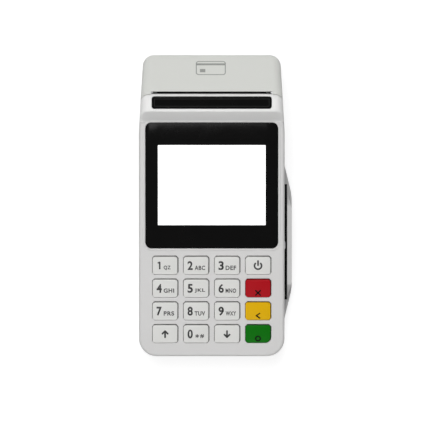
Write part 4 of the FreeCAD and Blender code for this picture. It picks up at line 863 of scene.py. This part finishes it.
def makeRing(name, y, radius, width, startAngle, sweep, steps=40):
    # a printed arc: a small flat section spun clockwise about its centre
    deselectAll()
    bpy.ops.mesh.primitive_plane_add(size=1, location=(0, 0, 0))
    obj = bpy.context.object
    obj.name = name
    obj.scale = (width, legend["ink"], 1)
    obj.rotation_euler = (math.radians(90), 0, 0)
    obj.location = (radius, 0, legend["ink"] / 2)
    bpy.ops.object.transform_apply(location=True, rotation=True, scale=True)
    placeOn(obj, Matrix.Rotation(startAngle, 4, "Z"))
    bpy.ops.object.mode_set(mode="EDIT")
    bpy.ops.mesh.select_all(action="SELECT")
    bpy.ops.mesh.spin(steps=steps, angle=sweep, center=(0, 0, 0), axis=(0, 0, 1))
    bpy.ops.mesh.select_all(action="SELECT")
    bpy.ops.mesh.remove_doubles(threshold=fine)
    turnFacesOut()
    placeOn(obj, Matrix.Translation((0, y, 0)))
    return obj


def makeDigit(text):
    base, top = legend["base"], legend["base"] + legend["digitHeight"]
    if text != "1":
        return [makeWord("digit", text, legend["digitHeight"], legend["digitWidth"], legend["digitX"], base)]
    x, half = oneBars["x"], oneBars["stroke"] / 2
    flagEnd = (x - oneBars["flagAcross"], top - oneBars["flagDrop"])
    return [makeBar("digit", (x, base + half), (x, top - half), oneBars["stroke"], False),
            makeBar("digit", (x, top - half), flagEnd, oneBars["flagStroke"], False)]


def makeLetters(text):
    width = legend["letterWidth"] * len(text)
    return [makeWord("letters", text, legend["letterHeight"], width, legend["letterLeft"] + width / 2,
                     legend["base"])]


def makeStarAndHash():
    middle = Vector((star["x"], legend["base"] + star["up"], 0))
    marks = []
    for turn in (90, 30, 150):
        angle = math.radians(turn)
        ray = star["reach"] * Vector((math.cos(angle), math.sin(angle), 0))
        marks.append(makeBar("ray", middle - ray, middle + ray, star["stroke"], False))
    marks.append(makeWord("letters", "#", hashMark["height"], hashMark["width"], hashMark["x"],
                          legend["base"] + hashMark["up"]))
    return marks


def makeArrow(way):
    tip = (0, way * arrow["tip"])
    bars = [makeBar("stem", (0, -way * arrow["tail"]), (0, way * arrow["stemTop"]), arrow["stroke"])]
    for side in (-1, 1):
        end = (side * arrow["barbAcross"], way * arrow["barbUp"])
        bars.append(makeBar("barb", tip, end, arrow["stroke"]))
    return bars


def makePowerSign():
    gap = math.radians(powerSign["gap"])
    return [makeRing("ring", 0, powerSign["radius"], powerSign["stroke"], math.pi / 2 - gap,
                     2 * math.pi - 2 * gap),
            makeBar("bar", (0, powerSign["barLow"]), (0, powerSign["barHigh"]), powerSign["stroke"])]


def makeCross():
    reach, y = keySign["reach"], keySign["y"]
    return [makeBar("cross", (-reach, y - way * reach), (reach, y + way * reach), keySign["stroke"])
            for way in (-1, 1)]


def makeArrowHead():
    reach, lean, y = keySign["reach"], keySign["lean"], keySign["y"]
    return [makeBar("arrowHead", (-lean, y), (lean, y + way * reach), keySign["stroke"])
            for way in (-1, 1)]


def makeCircle():
    return [makeRing("circle", keySign["y"], keySign["reach"], keySign["stroke"], 0, 2 * math.pi)]


makeSign = {"up": lambda: makeArrow(1), "down": lambda: makeArrow(-1), "power": makePowerSign,
            "cancel": makeCross, "clear": makeArrowHead, "enter": makeCircle}


def makeLegend(nodeName):
    sign = nodeName.replace("key_", "")
    pale = []
    if sign in makeSign:
        parts = makeSign[sign]()
    else:
        parts = makeDigit(sign)
        pale = makeLetters(letterGroups[nodeName]) if nodeName in letterGroups else makeStarAndHash()
    for part in parts:
        wear(part, finish["blackInk" if nodeName in keyFinish else "ink"])
    for part in pale:
        wear(part, finish["paleInk"])
    obj = joinAll("legend_" + sign, parts + pale)
    placeOn(obj, keyTopPlace[nodeName] @ Matrix.Translation((0, 0, legend["lift"])))
    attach(obj, nodeName)


for name in keyNames:
    makeLegend(name)
print("legends printed")


# stage, light and camera

studio = {"floorSize": 3.0, "floorLevel": cadBox[0].z, "floorGrey": 0.4, "floorGlow": 0.78,
          "skyLow": 0.22, "skyTop": 0.42, "skyLeft": 0.55, "skyRight": 0.3, "skyNear": 1.95, "skyFar": 0.75}
lamps = {  # place in metres, size across, watts
    "keyLamp": ((-0.3, 0.4, 1.9), 1.0, 14.5),
    "farLamp": ((0.0, 1.1, 1.7), 1.3, 15.5),
    "nearLamp": ((-0.1, -1.7, 1.2), 1.0, 7.6),
}


def makeFloor():
    # a grey floor for the bounced light, which the camera and mirrors see glow up to white
    deselectAll()
    bpy.ops.mesh.primitive_plane_add(size=studio["floorSize"], location=(0, 0, studio["floorLevel"]))
    floor = bpy.context.object
    floor.name = "floor"
    grey = (studio["floorGrey"],) * 3
    material, tree, shader, place = startMaterial("pale floor", grey, 0.9)
    shader.inputs["Specular IOR Level"].default_value = 0.0
    tone = noiseOf(tree, place, 3.0, 2.0)
    tree.links.new(mottled(tree, tone, grey, 0.975, 1.025), shader.inputs["Base Color"])
    lightPath = tree.nodes.new("ShaderNodeLightPath")
    most = tree.nodes.new("ShaderNodeMath")
    most.operation = "MAXIMUM"
    tree.links.new(lightPath.outputs["Is Camera Ray"], most.inputs[0])
    tree.links.new(lightPath.outputs["Is Glossy Ray"], most.inputs[1])
    shader.inputs["Emission Color"].default_value = (1, 1, 1, 1)
    glow = spread(tree, most.outputs[0], 0.0, studio["floorGlow"])
    tree.links.new(glow, shader.inputs["Emission Strength"])
    floor.data.materials.append(material)


def makeLamp(name, location, size, power):
    # a round soft lamp that points at the middle of the floor
    lamp = bpy.data.lights.new(name, "AREA")
    lamp.shape = "DISK"
    lamp.size = size
    lamp.energy = power
    obj = bpy.data.objects.new(name, lamp)
    obj.location = location
    obj.rotation_euler = (-Vector(location)).to_track_quat("-Z", "Y").to_euler()
    bpy.context.scene.collection.objects.link(obj)


def makeSky():
    # a white tent: brighter overhead than low down, and brighter on the left and near sides
    world = bpy.data.worlds.new("studio")
    world.use_nodes = True
    tree = world.node_tree
    background = tree.nodes["Background"]
    background.inputs["Color"].default_value = (1, 1, 1, 1)
    place = tree.nodes.new("ShaderNodeTexCoord")
    parts = tree.nodes.new("ShaderNodeSeparateXYZ")
    tree.links.new(place.outputs["Generated"], parts.inputs[0])
    height = spread(tree, parts.outputs["Z"], studio["skyLow"], studio["skyTop"], 0.0, 0.95)
    across = spread(tree, parts.outputs["X"], studio["skyLeft"], studio["skyRight"], -1.0, 1.0)
    along = spread(tree, parts.outputs["Y"], studio["skyNear"], studio["skyFar"], -1.0, 1.0)
    strength = product(tree, height, product(tree, across, along))
    tree.links.new(strength, background.inputs["Strength"])
    bpy.context.scene.world = world


makeFloor()
makeSky()
for name, (place, size, power) in lamps.items():
    makeLamp(name, place, size, power)

# the picture's size in pixels, one pixel's size at the front, and where the body's middle falls in it
photo = {"width": 428, "height": 443, "pixel": 0.5361 * mm, "bodyCentreX": 211.75, "bodyCentreY": 205.75,
         "distance": 6.0, "sharpLevel": 0.025}


def makeCamera():
    lens = bpy.data.cameras.new("camera")
    lens.sensor_width = 36.0
    seen = photo["height"] * photo["pixel"]
    lens.lens = lens.sensor_width * (photo["distance"] - photo["sharpLevel"]) / seen
    lens.clip_end = 20
    camera = bpy.data.objects.new("camera", lens)
    right = (photo["width"] / 2 - photo["bodyCentreX"]) * photo["pixel"]
    up = (photo["bodyCentreY"] - photo["height"] / 2) * photo["pixel"]
    camera.location = (right, up, photo["distance"])
    bpy.context.scene.collection.objects.link(camera)
    bpy.context.scene.camera = camera


makeCamera()
bpy.context.scene.view_settings.view_transform = "Standard"
print("studio ready")
